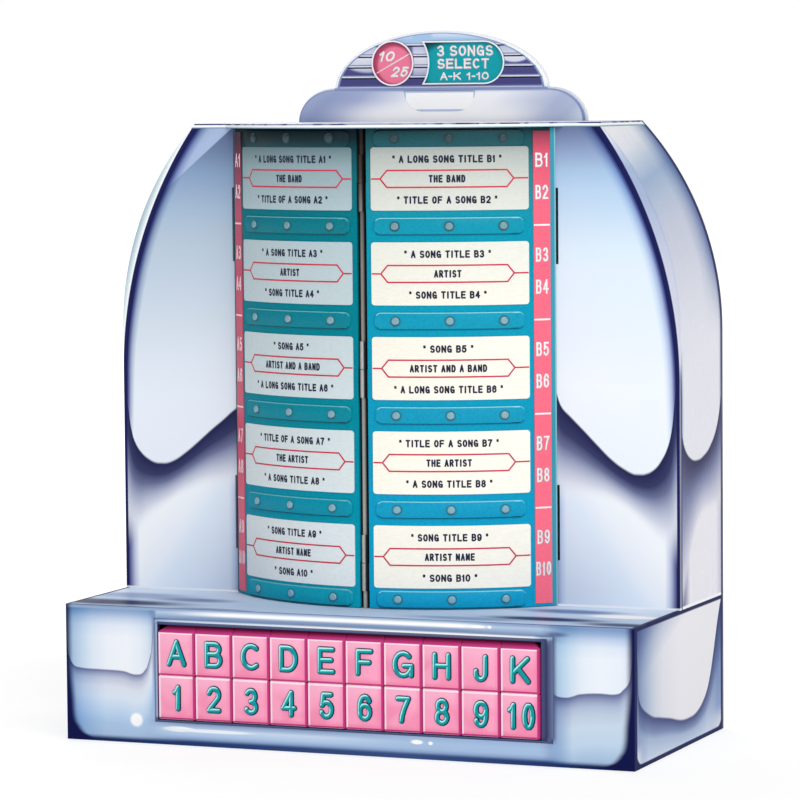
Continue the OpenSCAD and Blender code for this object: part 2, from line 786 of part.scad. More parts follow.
// Sockets at both ends of the lamp, fixed to the light box wall
module lamp_holders() {
    x = lamp_len / 2 + holder_gap;
    color("whitesmoke") for (side = [-1, 1]) handed(side) difference() {
        block([x, lamp_y - lamp_d / 2, lamp_z - lamp_d / 2 - holder_edge],
              [x + holder_w, light_box_y, lamp_z + lamp_d / 2 + holder_edge]);
        for (k = [-1, 1]) translate([x - over, lamp_y, lamp_z + k * lamp_pin_off])
            rotate([0, 90, 0]) cylinder(d = lamp_pin_d + fit, h = lamp_pin_len + 2 * over, $fn = 24);
    }
}

// Spun round the speaker's axis: distances from the axis and forward from the back panel
module speaker_turned(profile) {
    translate([0, back_in, speaker_z]) rotate([90, 0, 0]) rotate_extrude($fn = 120) polygon(profile);
}

// Flange, basket and magnet in one piece
module speaker_frame() {
    rim = speaker_d / 2;
    magnet = magnet_d / 2;
    basket = speaker_depth - magnet_h;
    color("darkslategray") speaker_turned([
        [rim - flange_w, 0], [rim, 0], [rim, flange_t], [rim - flange_w + 2 * basket_t, flange_t],
        [magnet + 2 * basket_t, basket], [magnet, speaker_depth], [0, speaker_depth], [0, basket - basket_t],
        [magnet, basket - basket_t], [rim - flange_w, flange_t]
    ]);
}

// Paper cone with its roll at the edge and a domed cap in the middle
module speaker_cone() {
    rim = speaker_d / 2 - flange_w - fit;
    throat = magnet_d / 4;
    color("dimgray") speaker_turned([
        [rim - cone_roll, cone_t], [rim, fit], [rim, cone_t], [rim - cone_roll, 2 * cone_t],
        [throat + cone_t, cone_floor], [throat, cone_floor], [throat, cone_floor - throat_h],
        [0, cone_floor - throat_h - cap_rise], [0, cone_floor - throat_h - cap_rise - cone_t],
        [throat, cone_floor - throat_h - cone_t]
    ]);
}

// Circuit board with a heat sink and two capacitors
module sound_board() {
    z = floor_top + sound_post_h;
    color("darkgreen") translate([sound_x, sound_y, z]) {
        block([-sound_w / 2, -sound_d / 2, 0], [sound_w / 2, sound_d / 2, board_t]);
        translate([part_edge - sound_w / 2, part_edge - sound_d / 2, board_t]) cube(sink_size);
        for (k = [0, 1]) translate([sound_w / 2 - part_edge - cap_d / 2 - k * cap_pitch, 0, board_t])
            cylinder(d = cap_d, h = cap_h);
    }
}

// Rubber gland that closes the cable's way out
module cable_gland() {
    color("black") difference() {
        union() {
            bar_y(gland_x, gland_z, back_in - 2 * gland_flange_t, back_y, gland_d);
            bar_y(gland_x, gland_z, back_in - gland_flange_t, back_in, gland_flange_d);
        }
        bar_y(gland_x, gland_z, back_in - 2 * gland_flange_t - over, back_y + over, gland_bore);
    }
}

// Curved leaf with its hinge barrels and two latch tabs
module leaf(side) {
    barrel_low = side < 0 ? barrel_gap / 2 : -barrel_len - barrel_gap / 2;
    color("darkcyan") handed(side) difference() {
        union() {
            difference() {
                leaf_layer(leaf_r - leaf_t, leaf_r, spine_gap, leaf_end_s, leaf_low, leaf_high);
                block([0, panel_y - leaf_gap, leaf_low - over], [half_w, back_in, leaf_high + over]);
            }
            for (z = hinge_heights) translate([0, pin_y, z + barrel_low]) {
                cylinder(d = barrel_d, h = barrel_len, $fn = 48);
                block([barrel_d / 4, -leaf_t / 3, 0], [spine_gap + leaf_t, leaf_t / 3, barrel_len]);
            }
            for (z = latch_heights)
                block([leaf_end_x - latch_inset - latch_t, panel_y - leaf_gap - leaf_t / 2, z - latch_h / 2],
                      [leaf_end_x - latch_inset, panel_y + sheet + latch_reach, z + latch_h / 2]);
        }
        translate([0, pin_y, leaf_low - over])
            cylinder(d = pin_d + 2 * pin_clear, h = leaf_high - leaf_low + 2 * over, $fn = 48);
        for (k = [0 : card_rows], n = [-1 : 1])
            leaf_stud(rivet_s(n), rail_z(k), leaf_r - leaf_t - over, leaf_r + over, rivet_d + 2 * rivet_clear);
    }
}

module leaf_rails(side) {
    color("cadetblue") handed(side) for (k = [0 : card_rows]) difference() {
        leaf_layer(leaf_r + film_t, leaf_r + rail_t, rail_from, rail_to,
                   rail_z(k) - rail_h / 2, rail_z(k) + rail_h / 2);
        for (n = [-1 : 1])
            leaf_stud(rivet_s(n), rail_z(k), leaf_r - over, leaf_r + rail_t + over, rivet_d + 2 * rivet_clear);
    }
}

module leaf_rivets(side) {
    color("silver") handed(side) for (k = [0 : card_rows], n = [-1 : 1]) {
        leaf_stud(rivet_s(n), rail_z(k), leaf_r - leaf_t, leaf_r + rail_t, rivet_d);
        leaf_stud(rivet_s(n), rail_z(k), leaf_r + rail_t, leaf_r + rail_t + rivet_head_h, rivet_head_d);
    }
}

module leaf_cards(side) {
    color("cornsilk") handed(side) for (k = [0 : card_rows - 1])
        leaf_layer(leaf_r + film_t, leaf_r + card_t, card_from, card_to,
                   card_z(k) - card_h / 2, card_z(k) + card_h / 2);
}

module leaf_index(side) {
    color("palevioletred") handed(side)
        leaf_layer(leaf_r + film_t, leaf_r + card_t, index_from, index_to,
                   leaf_low + index_end_gap, leaf_high - index_end_gap);
}

base_housing();
base_floor();
feet();
floor_screws();
key_bezel();
key_guide();
key_springs();
switch_board();
key_switches();
cheek(-1);  // cheek_left
cheek(1);  // cheek_right
side_band(-1);  // side_band_left
side_band(1);  // side_band_right
back_panel();
back_screws();
hood();
dome_plate();
shoulder_plate();
price_disc();
price_window();
coin_plate();
spine_pin();
spine_post();
light_box();
lamp_tube();
lamp_holders();
speaker_frame();
speaker_cone();
sound_board();
cable_gland();
leaf(-1);  // left_leaf
leaf_rails(-1);  // left_rails
leaf_rivets(-1);  // left_rivets
leaf_cards(-1);  // left_cards
leaf_index(-1);  // left_index
leaf(1);  // right_leaf
leaf_rails(1);  // right_rails
leaf_rivets(1);  // right_rivets
leaf_cards(1);  // right_cards
leaf_index(1);  // right_index
key(0, 1);  // key_a
key(1, 1);  // key_b
key(2, 1);  // key_c
key(3, 1);  // key_d
key(4, 1);  // key_e
key(5, 1);  // key_f
key(6, 1);  // key_g
key(7, 1);  // key_h
key(8, 1);  // key_j
key(9, 1);  // key_k
key(0, 0);  // key_1
key(1, 0);  // key_2
key(2, 0);  // key_3
key(3, 0);  // key_4
key(4, 0);  // key_5
key(5, 0);  // key_6
key(6, 0);  // key_7
key(7, 0);  // key_8
key(8, 0);  // key_9
key(9, 0);  // key_10
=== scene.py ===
# %% [markdown]
# # A tabletop jukebox
# The selector stands on a table: a wide base with twenty push keys, an arched cabinet above it, two hinged
# leaves of title cards and a crest with a price disc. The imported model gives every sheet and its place,
# so this lesson adds what the hand and the paint brush would add: rounded keys with raised legends,
# pressed rails, printed cards, and an enamel that is airbrushed to look like polished chrome.

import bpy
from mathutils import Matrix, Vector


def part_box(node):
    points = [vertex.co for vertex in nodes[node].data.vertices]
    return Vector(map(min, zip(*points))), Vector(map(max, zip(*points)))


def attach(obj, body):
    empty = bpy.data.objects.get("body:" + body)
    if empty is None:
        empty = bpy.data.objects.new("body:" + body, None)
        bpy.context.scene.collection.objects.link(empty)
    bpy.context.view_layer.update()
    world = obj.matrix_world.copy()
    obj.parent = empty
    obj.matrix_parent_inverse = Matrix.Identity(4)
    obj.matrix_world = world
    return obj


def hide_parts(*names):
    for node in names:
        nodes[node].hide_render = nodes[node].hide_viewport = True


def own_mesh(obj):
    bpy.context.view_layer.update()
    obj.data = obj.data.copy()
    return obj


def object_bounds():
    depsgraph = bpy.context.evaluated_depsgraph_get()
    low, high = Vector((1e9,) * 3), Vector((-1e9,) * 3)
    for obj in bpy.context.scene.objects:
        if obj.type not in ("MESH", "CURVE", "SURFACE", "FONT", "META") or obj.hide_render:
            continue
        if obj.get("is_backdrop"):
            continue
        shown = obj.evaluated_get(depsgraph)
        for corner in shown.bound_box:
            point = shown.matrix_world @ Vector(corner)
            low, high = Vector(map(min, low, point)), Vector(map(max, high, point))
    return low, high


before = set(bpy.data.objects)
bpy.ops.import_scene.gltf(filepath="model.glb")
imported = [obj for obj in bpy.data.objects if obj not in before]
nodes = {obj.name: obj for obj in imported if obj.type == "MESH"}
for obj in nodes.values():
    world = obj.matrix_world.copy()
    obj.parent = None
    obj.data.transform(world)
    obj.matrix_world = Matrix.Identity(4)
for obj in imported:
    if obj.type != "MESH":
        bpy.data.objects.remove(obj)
cad_box = [list(corner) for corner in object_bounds()]

import math

import bpy
from mathutils import Matrix, Vector

MM = 0.001

# %% [markdown]
# ## The view and the room
# The camera stands to the right of the object, level with its top, and far away, so that the uprights
# stay nearly parallel. It was solved once from the outline, so its numbers are used as they are.
# The room is a pale photographer's sweep: light comes from all round, more of it from the right.

# %% Camera
CAMERA_AT = (0.63243, -1.55139, 0.26834)
TURN, DOWN, LEAN = 0.385626, 0.076108, -0.0083855
LENS_MM, SENSOR_MM = 181.284, 36
NEAR, FAR = 0.1, 20

camera_data = bpy.data.cameras.new("camera")
camera_data.sensor_width, camera_data.lens = SENSOR_MM, LENS_MM
camera_data.clip_start, camera_data.clip_end = NEAR, FAR
camera = bpy.data.objects.new("camera", camera_data)
bpy.context.scene.collection.objects.link(camera)
bpy.context.scene.camera = camera

forward = Vector((-math.sin(TURN) * math.cos(DOWN), math.cos(TURN) * math.cos(DOWN), -math.sin(DOWN)))
right = Vector((math.cos(TURN), math.sin(TURN), 0))
level = Matrix((right, right.cross(forward), -forward)).transposed()
camera.matrix_world = Matrix.Translation(CAMERA_AT) @ (level @ Matrix.Rotation(LEAN, 3, "Z")).to_4x4()
print("camera turned by", round(math.degrees(TURN), 1), "degrees")

# %% [markdown]
# ## Building materials
# A material is a small net of nodes. One function adds a node, sets it and links it, so each finish
# reads as a list of steps. Colours are picked on screen as sRGB hex and turned to linear light once.

# %% Colours and one way to add a node
def linear(colour):
    """An sRGB hex colour, or one grey value that is linear already, as linear red, green, blue, alpha."""
    if not isinstance(colour, str):
        return (colour, colour, colour, 1.0)
    parts = [int(colour[i:i + 2], 16) / 255 for i in (1, 3, 5)]
    return tuple(p / 12.92 if p <= 0.04045 else ((p + 0.055) / 1.055) ** 2.4 for p in parts) + (1.0,)


tree = None
CLOUD_GRAINS = 14


def add(kind, *inputs, out=0, stops=None, curve=None, **settings):
    """Adds one node to the tree and gives one of its outputs back. kind is its type, followed by its
    operation if it has one. Inputs go in by order, or by name as a dict: a number, a hex colour or
    an output. stops are the colours of a ramp, and curve the points of a curve, by their place in mm."""
    kind, *operation = kind.split()
    node = tree.nodes.new("ShaderNode" + kind)
    for name, value in settings.items():
        setattr(node, name, value)
    if operation:
        node.operation = operation[0]
    filled = dict(inputs[0]) if inputs and isinstance(inputs[0], dict) else dict(enumerate(inputs))
    if stops:
        low, high = min(stops), max(stops)
        filled[0] = add("MapRange", filled[0], low, high, 0.0, 1.0)
        ramp = node.color_ramp
        ramp.elements.remove(ramp.elements[-1])
        for count, (place, colour) in enumerate(sorted(stops.items())):
            stop = ramp.elements[0] if count == 0 else ramp.elements.new((place - low) / (high - low))
            stop.position = (place - low) / (high - low)
            stop.color = linear(colour)
    if curve:
        low, high = min(curve), max(curve)
        least, most = min(curve.values()), max(curve.values())
        filled = {1: add("MapRange", filled[0], low, high, 0.0, 1.0)}
        points = node.mapping.curves[0].points
        placed = [((at - low) / (high - low), (level - least) / (most - least))
                  for at, level in sorted(curve.items())]
        for middle in placed[1:-1]:
            points.new(*middle)
        points[0].location, points[-1].location = placed[0], placed[-1]
        node.mapping.update()
    for key, value in filled.items():
        if isinstance(value, bpy.types.NodeSocket):
            tree.links.new(value, node.inputs[key])
        else:
            node.inputs[key].default_value = linear(value) if isinstance(value, str) else value
    if curve:
        return add("MapRange", node.outputs[0], 0.0, 1.0, least, most)
    return node.outputs[out]


def place_in_mm():
    """The piece's own place in millimetres: the vector, and its x, y and z."""
    vector = add("VectorMath SCALE", {0: add("TexCoord", out="Object"), "Scale": 1000.0})
    return (vector, *add("SeparateXYZ", vector).node.outputs)


def coats(under, *layers):
    """Lays coats of paint over each other. Each is a mask from 0 to 1 and the colour that it lets through."""
    for mask, colour in layers:
        under = add("Mix", {0: mask, 6: under, 7: colour}, out=2, data_type="RGBA")
    return under


def glaze(under, *layers):
    """Darkens a colour by clear glazes, each a colour from black to white."""
    for colour in layers:
        under = add("Mix", {0: 1.0, 6: under, 7: colour}, out=2, data_type="RGBA", blend_type="MULTIPLY")
    return under


print("materials are built by one function, add")

# %% [markdown]
# ## A finish for every piece
# Every surface has some grain: orange peel on sprayed enamel, a fine texture on moulded plastic, drawn
# lines on wire. Real grain is far under a pixel here, so each is drawn as coarse as the render can show.
# The function takes the colour, how rough the surface is from spot to spot, and the grain's size in mm.

# %% One finish
def finish(colour, rough, grain, height, stretch=(1, 1, 1), fleck=None, **sockets):
    """The material's surface: its colour, its lowest and highest roughness, and its grain's size and
    height in mm. The grain may be squeezed by stretch, and fleck is a colour that shows through here
    and there. Other sockets of the surface go in by name."""
    vector = place_in_mm()[0]
    if stretch != (1, 1, 1):
        vector = add("VectorMath MULTIPLY", vector, stretch)
    peel = add("TexNoise", {"Vector": vector, "Scale": 1 / grain, "Detail": 3.0, "Roughness": 0.55})
    cloud = add("TexNoise", {"Vector": vector, "Scale": 1 / (grain * CLOUD_GRAINS), "Detail": 2.0})
    if fleck:
        colour = coats(colour, (add("MapRange", cloud, 0.4, 0.62, 0.0, 0.5), fleck))
    if isinstance(colour, str):
        colour = glaze(colour, add("MapRange", peel, 0.3, 0.7, 0.94, 1.0))
    surface = add("BsdfPrincipled", {
        "Base Color": colour,
        "Roughness": add("MapRange", cloud, 0.35, 0.65, *rough),
        "Normal": add("Bump", {"Strength": 1.0, "Distance": height * MM, "Height": peel}),
        **{name.replace("_", " "): value for name, value in sockets.items()}})
    tree.links.new(surface, tree.nodes["Material Output"].inputs[0])


def new_material(name):
    """Starts an empty material, which the nodes that follow are added to."""
    global tree
    made = bpy.data.materials.new(name)
    made.use_nodes = True
    tree = made.node_tree
    tree.nodes.remove(tree.nodes["Principled BSDF"])
    return made


def paint(material, *names):
    """Gives the material to CAD nodes, in all their slots."""
    for name in names:
        mesh = nodes[name].data
        mesh.materials.clear()
        mesh.materials.append(material)


# Gloss enamel: its reflections are painted in, so the resin coat itself mirrors next to nothing
GLOSS = dict(rough=(0.22, 0.32), grain=1.2, height=0.004, Specular_IOR_Level=0.015)
print("finish ready")

# %% [markdown]
# ## The airbrushed cabinet
# The steel sheets carry a painted likeness of bulging chrome: a large pale lobe on each panel, slate blue
# where it meets the arch, a navy shadow under it, and light that comes back towards the deck.
# A photograph of it could be wrapped round the sheets, but it would blur, and it would hide how it is made.
# So each panel is sprayed with masks, as the painter did: a curve gives the lobe's lower edge in mm, and
# ramps give the colours above and below it.

# %% Distances and masks
NAVY = "#1f2354"
ARCH_START, ARCH_CENTRE, ARCH_RADIUS = 150.0, 53.0, 178.0


def distance(u, v):
    """Distance of a place from 0, 0."""
    return add("VectorMath LENGTH", add("CombineXYZ", u, v, 0.0), out="Value")


def inside_arch(x, z):
    """Distance inwards from the cabinet's outline, in mm, which is straight up to the arch."""
    across = add("Math ADD", add("Math ABSOLUTE", x), ARCH_CENTRE)
    rise = add("Math MAXIMUM", add("Math SUBTRACT", z, ARCH_START), 0.0)
    return add("Math SUBTRACT", ARCH_RADIUS, distance(across, rise))


def depth_under(edge, z, end):
    """How deep a height lies under a lobe: 0 at the lobe's lower edge, and 1 where its shadow ends."""
    return add("Math DIVIDE", add("Math SUBTRACT", edge, z), add("Math SUBTRACT", edge, end))


def soft(value, off, on):
    """A mask that goes smoothly from 0 at one value to 1 at the other."""
    return add("MapRange", value, off, on, 0.0, 1.0, interpolation_type="SMOOTHSTEP")


def overlap(mask, *others):
    """Where all of the masks overlap."""
    for other in others:
        mask = add("Math MULTIPLY", mask, other)
    return mask


def spot(u, v, centre, size):
    """A soft oval: 1 in its middle and 0 outside it."""
    du = add("Math DIVIDE", add("Math SUBTRACT", u, centre[0]), size[0])
    dv = add("Math DIVIDE", add("Math SUBTRACT", v, centre[1]), size[1])
    return soft(distance(du, dv), 1.0, 0.0)


def dabs(under, u, v, *ovals):
    """Dabs of paint: soft ovals, each with its centre, its size, how soft its edge is, and its colour."""
    for centre, size, edge, colour in ovals:
        under = coats(under, (soft(spot(u, v, centre, size), 0.0, edge), colour))
    return under


print("masks ready")

# %% Upper front panels
def cheek_paint(name, lobe, shade, edge, pale, margin, outside):
    """Paint of an upper front panel. lobe gives its colours by height, shade its glaze by the distance from
    the navy line in line widths, edge the lobe's lower edge by x, and pale the height where its shadow
    ends. margin gives the colours outside the navy line by distance, and outside those by height."""
    made = new_material(name)
    vector, x, y, z = place_in_mm()
    side = add("Math ABSOLUTE", x)
    inwards = inside_arch(x, z)
    widths = add("Math DIVIDE", inwards, add("MapRange", z, 120.0, 180.0, 1.3, 2.1))
    low = add("FloatCurve", side, curve=edge)
    depth = depth_under(low, z, add("FloatCurve", side, curve=pale))
    shadow = add("ValToRGB", depth, stops={0: "#24274f", 0.24: "#3a3e66", 0.4: "#6a7196", 0.52: "#9aa1bd",
                                           0.66: "#c3c9db", 0.8: "#e0e4ef", 1: "#f4f6fc"})
    out_and_up = add("Math ADD", add("Math MULTIPLY", add("Math SUBTRACT", z, 60.0), 0.0156),
                     add("Math MULTIPLY", add("Math SUBTRACT", side, 78.0), 0.0244))
    field = add("ValToRGB", out_and_up, stops={0: "#d1deef", 0.44: "#dfeaf8", 0.7: "#e5f0fc",
                                               0.9: "#f2f7fe", 1.2: "#f8fbff"})
    # Painted shade darkens the field along the panel's inner edge, next to the leaves
    field = glaze(field, add("ValToRGB", side, stops={66: "#8f97c0", 71: "#9aa3c9", 74: "#e6e9f4",
                                                      76: "#ffffff"}))
    chrome = add("ValToRGB", z, stops=lobe)
    # A long glint crosses the top of the left panel, from under the hood down to the arch
    glint = add("Math SUBTRACT", add("Math SUBTRACT", z, 254.0),
                add("Math MULTIPLY", add("Math ADD", x, 73.0), 0.83))
    chrome = coats(chrome, (overlap(soft(glint, -0.4, 0.4), soft(x, -60.0, -70.0), soft(glint, 26.0, 2.0)),
                            "#a9bbdc"))
    chrome = glaze(chrome, add("ValToRGB", widths, stops=shade))
    colour = coats(glaze(field, add("ValToRGB", widths, stops={1: "#33366a", 2: "#8388b2", 3.2: "#c9cee4",
                                                           5: "#ffffff"})),
                   (soft(depth, 1.05, 0.72), shadow),
                   (soft(add("Math SUBTRACT", z, low), -0.7, 0.7), chrome),
                   (soft(widths, 1.1, 0.85), NAVY),
                   (soft(inwards, 0.15, -0.2), glaze(add("ValToRGB", inwards, stops=margin),
                                                     add("ValToRGB", z, stops=outside))),
                   (soft(z, 58.3, 57.7), "#f4f7fc"))
    finish(colour, **GLOSS)
    return made


# The left panel's colours run darker than the right's. This is partly the airbrushed pattern and partly
# painted shade, as the light comes from the right.
left_cheek = cheek_paint(
    "airbrushed_enamel_left",
    lobe={124: "#e9eff9", 140: "#e5edf7", 156: "#dde6f1", 172: "#d1dce8", 188: "#c4d2e2", 204: "#b8c9da",
          212: "#b0c2d5", 220: "#a4bad3", 228: "#96adca", 236: "#869fc0", 244: "#7186a9", 254: "#5f6c91"},
    shade={1: "#2f326a", 1.5: "#777ca9", 2.1: "#c3c8dd", 3.2: "#ffffff"},
    edge={70: 137, 74: 134.4, 78: 131, 84: 126.3, 90: 121.2, 96: 116.4, 102: 112.6, 106: 111.4,
          110: 111.5, 114: 113.2, 117.5: 116.2, 120: 120, 121.6: 125, 123: 134, 125: 150},
    pale={74: 101, 86: 101, 96: 98, 106: 92, 114: 86, 119: 80, 125: 76},
    margin={-3.6: "#8ea0a9", -2.9: "#a9bfc8", -1.5: "#cfdfe6", -0.4: "#f4f9fb", 0: "#ffffff"},
    outside={58: "#ffffff", 254: "#ffffff"})
right_cheek = cheek_paint(
    "airbrushed_enamel_right",
    lobe={124: "#f0f6fd", 148: "#f1f7fd", 164: "#eaf2fc", 180: "#e4effa", 196: "#e0ecf9", 204: "#daeaf7",
          212: "#d0e2f4", 220: "#c3daf0", 228: "#b8d1ec", 236: "#a7c3e1", 244: "#8fa2c6", 254: "#67759b"},
    shade={1: "#2b2c66", 1.4: "#6b70a4", 2.0: "#b9c2df", 2.9: "#e6edf8", 3.8: "#ffffff"},
    edge={68: 170, 71: 152, 72.6: 143, 74.4: 139, 78: 135.4, 84: 129.6, 90: 123.6, 96: 118, 102: 114,
          106: 112.4, 110: 112.6, 114: 114.6, 117.5: 119, 120: 124.4, 121.4: 130, 122.6: 140, 125: 165},
    pale={72: 100, 84: 101, 92: 101, 100: 98, 108: 92, 116: 84, 121: 79, 125: 76},
    margin={-3.6: "#f6f8ff", 0: "#f6f8ff"},
    outside={120: "#dcdde6", 164: "#dcdde5", 197: "#cfd2df", 213: "#bcc5d8", 226: "#aab7d0",
             237: "#a7b8d1", 244: "#c3cedf", 250: "#e3e4ec"})
paint(left_cheek, "cheek_left")
paint(right_cheek, "cheek_right")
print("upper panels painted")

# %% [markdown]
# ## Side bands
# The skin from the front arch to the back panel has a lobe of its own: lavender white, blue where it
# turns over at the top, and closed by a U at a third of its height. The navy line at both of its edges
# is what makes the flat sheet read as a round bar.

# %% Side band paint
band_paint = new_material("airbrushed_enamel_band")
vector, x, y, z = place_in_mm()
low = add("FloatCurve", y, curve={0: 142, 2.3: 131, 4.4: 126, 7: 122.6, 10: 120.2, 13.8: 118.4, 18: 117.2,
                                  23: 116.8, 28: 117.1, 32: 118, 37: 119.5, 41: 121.6, 45: 124.2, 48: 127,
                                  51: 131, 53: 135, 54.5: 139.5, 56: 150, 58: 175})
end = add("FloatCurve", y, curve={0: 60, 5: 68, 10: 77, 17: 87, 23: 93, 32: 97, 41: 98, 48: 99, 58: 100})
depth = depth_under(low, z, end)
shadow = add("ValToRGB", depth, stops={0: "#2b2b57", 0.1: "#37385f", 0.22: "#4d5076", 0.37: "#687094",
                                       0.6: "#9499b8", 0.8: "#b8bace", 0.98: "#cfd0dd", 1.2: "#e5e4eb"})
# The blue turn leans: it is higher at the rear edge than at the front
leaning = add("Math SUBTRACT", z, add("MapRange", y, 4.0, 50.0, -3.0, 5.0))
lobe = add("ValToRGB", leaning, stops={118: "#e2e3ea", 156: "#dfe0e8", 176: "#dbdde6", 192: "#d4d7e3",
                                       204: "#cbcfde", 216: "#c4c9da", 226: "#b3c1d7", 234: "#9fb3d0",
                                       241: "#becbdd", 247: "#dee2ea", 254: "#ebebef"})
rear = coats(add("ValToRGB", y, stops={52: "#ffffff", 54.2: "#d9deea", 55.6: "#7279a5"}),
             (soft(z, 165.0, 205.0), add("ValToRGB", y, stops={34: "#ffffff", 43: "#dfe4ee", 50: "#aebbd6",
                                                             54: "#8595bf", 55.6: "#474c84"})))
near = coats("#ffffff", (soft(z, 170.0, 140.0), add("ValToRGB", y, stops={2: "#5a6398", 3: "#9aaad0",
                                                                        4.2: "#dfe6f2", 6: "#ffffff"})))
foot = glaze("#e6e5ec", add("ValToRGB", y, stops={2: "#3a3c6c", 4: "#676b98", 8: "#b3b6cf", 13: "#ffffff"}),
             add("ValToRGB", y, stops={48: "#ffffff", 55.5: "#d3d6e6"}))
colour = coats(foot, (soft(depth, 1.2, 0.95), shadow),
               (soft(add("Math SUBTRACT", z, low), -0.6, 0.6), glaze(lobe, rear, near)),
               (soft(z, 58.8, 58.0), "#f3f4f8"),
               (soft(y, 54.6, 55.2), NAVY), (overlap(soft(y, 3.4, 2.8), soft(z, 165.0, 140.0)), NAVY))
finish(colour, **GLOSS)
paint(band_paint, "side_band_left", "side_band_right")
print("side bands painted")

# %% Back panel: pale inside a navy rim, and a white rim round the crest
back_paint = new_material("satin_enamel_back")
vector, x, y, z = place_in_mm()
clouds = add("TexNoise", {"Vector": vector, "Scale": 0.03, "Detail": 2.0})
rim = overlap(soft(y, 57.9, 57.7), soft(y, 55.9, 56.05))
colour = coats("#dde2ed", (soft(clouds, 0.3, 0.7), "#d8deea"), (overlap(rim, soft(z, 256.3, 255.8)), NAVY),
               (overlap(rim, soft(z, 255.8, 256.3)), "#f3f5fa"))
finish(colour, (0.38, 0.5), 1.6, 0.012, Specular_IOR_Level=0.4)
paint(back_paint, "back_panel")
print("back painted")

# %% [markdown]
# ## The base
# The base is one folded sheet with three painted faces. A mask by place tells them apart: the front is
# where y is at its lowest, the sides where x is at its largest, and the deck is the top.
# The front has a lobe at each end and rows of light above and below the keys; the deck is dull blue with
# two dark swooshes, as if the cabinet's corners were mirrored in it.

# %% Front of the base: rows of light above and below the keys
HALF_WIDE, FRONT_Y, DECK_Z = 125.0, -58.0, 57.2
base_paint = new_material("airbrushed_enamel_base")
vector, x, y, z = place_in_mm()
side = add("Math ABSOLUTE", x)
bright = add("ValToRGB", z, stops={0.3: "#2b4078", 1.8: "#3f578a", 3.2: "#8aa5cc", 4.6: "#aec7e6",
                                   6: "#bfd4ee", 7: "#cbdcf0", 8: "#a9bfdd", 9.2: "#8ea3c6", 10: "#6b7aa3",
                                   50: "#6a728a", 53: "#7d92b5", 53.9: "#8ba2c4", 54.4: "#c9d6ea",
                                   54.8: "#ffffff", 55.5: "#ffffff", 56: "#e0eaf6", 56.6: "#9bb0d0",
                                   57.2: "#9fb2cd"})
dull = add("ValToRGB", z, stops={0.3: "#2b4078", 1.8: "#3f578a", 3.2: "#8aa5cc", 4.6: "#a7c1e2",
                                 7: "#abc5e5", 9.4: "#9db6d9", 53: "#8499bb", 54.4: "#a3b9d7",
                                 55.4: "#b5cae4", 56.3: "#96acce", 57.2: "#8298b8"})
lit_high = overlap(soft(x, -82.0, -50.0), soft(x, 68.0, 50.0))
lit_low = overlap(soft(x, -90.0, -80.0), soft(x, 36.0, -20.0))
rows = coats(dull, (add("Mix", {0: soft(z, 20.0, 40.0), 2: lit_low, 3: lit_high}), bright))
rows = dabs(rows, x, z, ((-74, 7.0), (10, 1.5), 0.45, "#ffffff"), ((-58, 6.7), (24, 1.0), 0.45, "#eef4fd"),
            ((32.3, 7.2), (3.6, 1.3), 0.45, "#ffffff"), ((38.2, 7.0), (1.4, 1.0), 0.45, "#ffffff"),
            ((46.5, 55.2), (6.4, 0.9), 0.45, "#ffffff"), ((59, 55.2), (5.0, 0.8), 0.45, "#ffffff"),
            ((63.9, 55.2), (1.3, 0.8), 0.45, "#ffffff"))
print("rows of light mixed")

# %% Front of the base: the two lobes and the corners
edge = add("FloatCurve", x, curve={-125: 42, -123.7: 35, -122.4: 32.4, -120.4: 30.9, -116: 30.4, -109: 30.3,
                                   -99: 30, -92.6: 28.8, -89: 30.6, -87: 34.6, -85.6: 40, -84: 54, -80: 60,
                                   86: 60, 89: 38, 90: 32, 91: 29.6, 95.6: 28.4, 99: 29, 102: 30, 110: 30.7,
                                   116.3: 30.6, 120.4: 32.8, 122.9: 36.1, 123.8: 41.6, 125: 60})
above = add("Math SUBTRACT", z, edge)
left_lobe = add("ValToRGB", x, stops={-125: "#8da8ca", -122: "#a9c4e0", -118: "#c3d6eb", -113: "#dee9f6",
                                      -106: "#eef2fa", -97: "#f1f5fb", -91: "#e8eff8", -87.5: "#dbe6f2",
                                      -85.6: "#c5d4e6"})
right_lobe = add("ValToRGB", x, stops={90: "#8fb0d0", 92: "#a5c4e0", 95: "#bbd5ea", 98: "#cfe1f0",
                                       103: "#e6eff8", 110: "#eff4fc", 119: "#ebf1fb", 123: "#dfe6f4"})
lobes = coats(left_lobe, (soft(x, -10.0, 10.0), right_lobe))
lobes = glaze(lobes, add("ValToRGB", z, stops={44: "#ffffff", 49: "#f0f5fb", 52: "#cfdced", 54: "#a9bfdb",
                                               55.6: "#8fa9cc", 57: "#8aa2c6"}))
under_left = add("ValToRGB", above, stops={-28: "#a6bedd", -22: "#abc6e5", -18: "#bcd4ee", -11: "#d9e5f3",
                                           -7: "#dbe1ee", -3.4: "#c3c9dc", -1.2: "#949cbb", 0: "#666b95"})
under_left = glaze(under_left, add("ValToRGB", x, stops={-125: "#33416e", -123.4: "#7a91bc", -121: "#b6cbe6",
                                                         -117: "#d6e3f4", -113: "#e8f0f9", -107: "#ffffff"}))
under_right = add("ValToRGB", above, stops={-28: "#a3bddc", -20: "#c3d8ec", -13: "#cadbec", -8: "#bfcde1",
                                            -5: "#b0bdd6", -2.4: "#8f9abc", 0: "#5a6590"})
under_right = glaze(under_right, add("ValToRGB", x, stops={88: "#7f95bf", 92: "#b9c9e2", 99: "#ffffff"}))
ends = coats(under_left, (soft(x, -10.0, 10.0), under_right), (soft(above, -0.4, 0.4), lobes),
             (soft(spot(x, z, (-92.9, 9.9), (4.1, 4.1)), 0.02, 0.5), "#ffffff"))
at_right = add("Math MAXIMUM", soft(x, 84.0, 98.0),
               overlap(soft(x, 89.8, 90.8), soft(z, 14.0, 18.0), soft(z, 52.0, 50.0)))
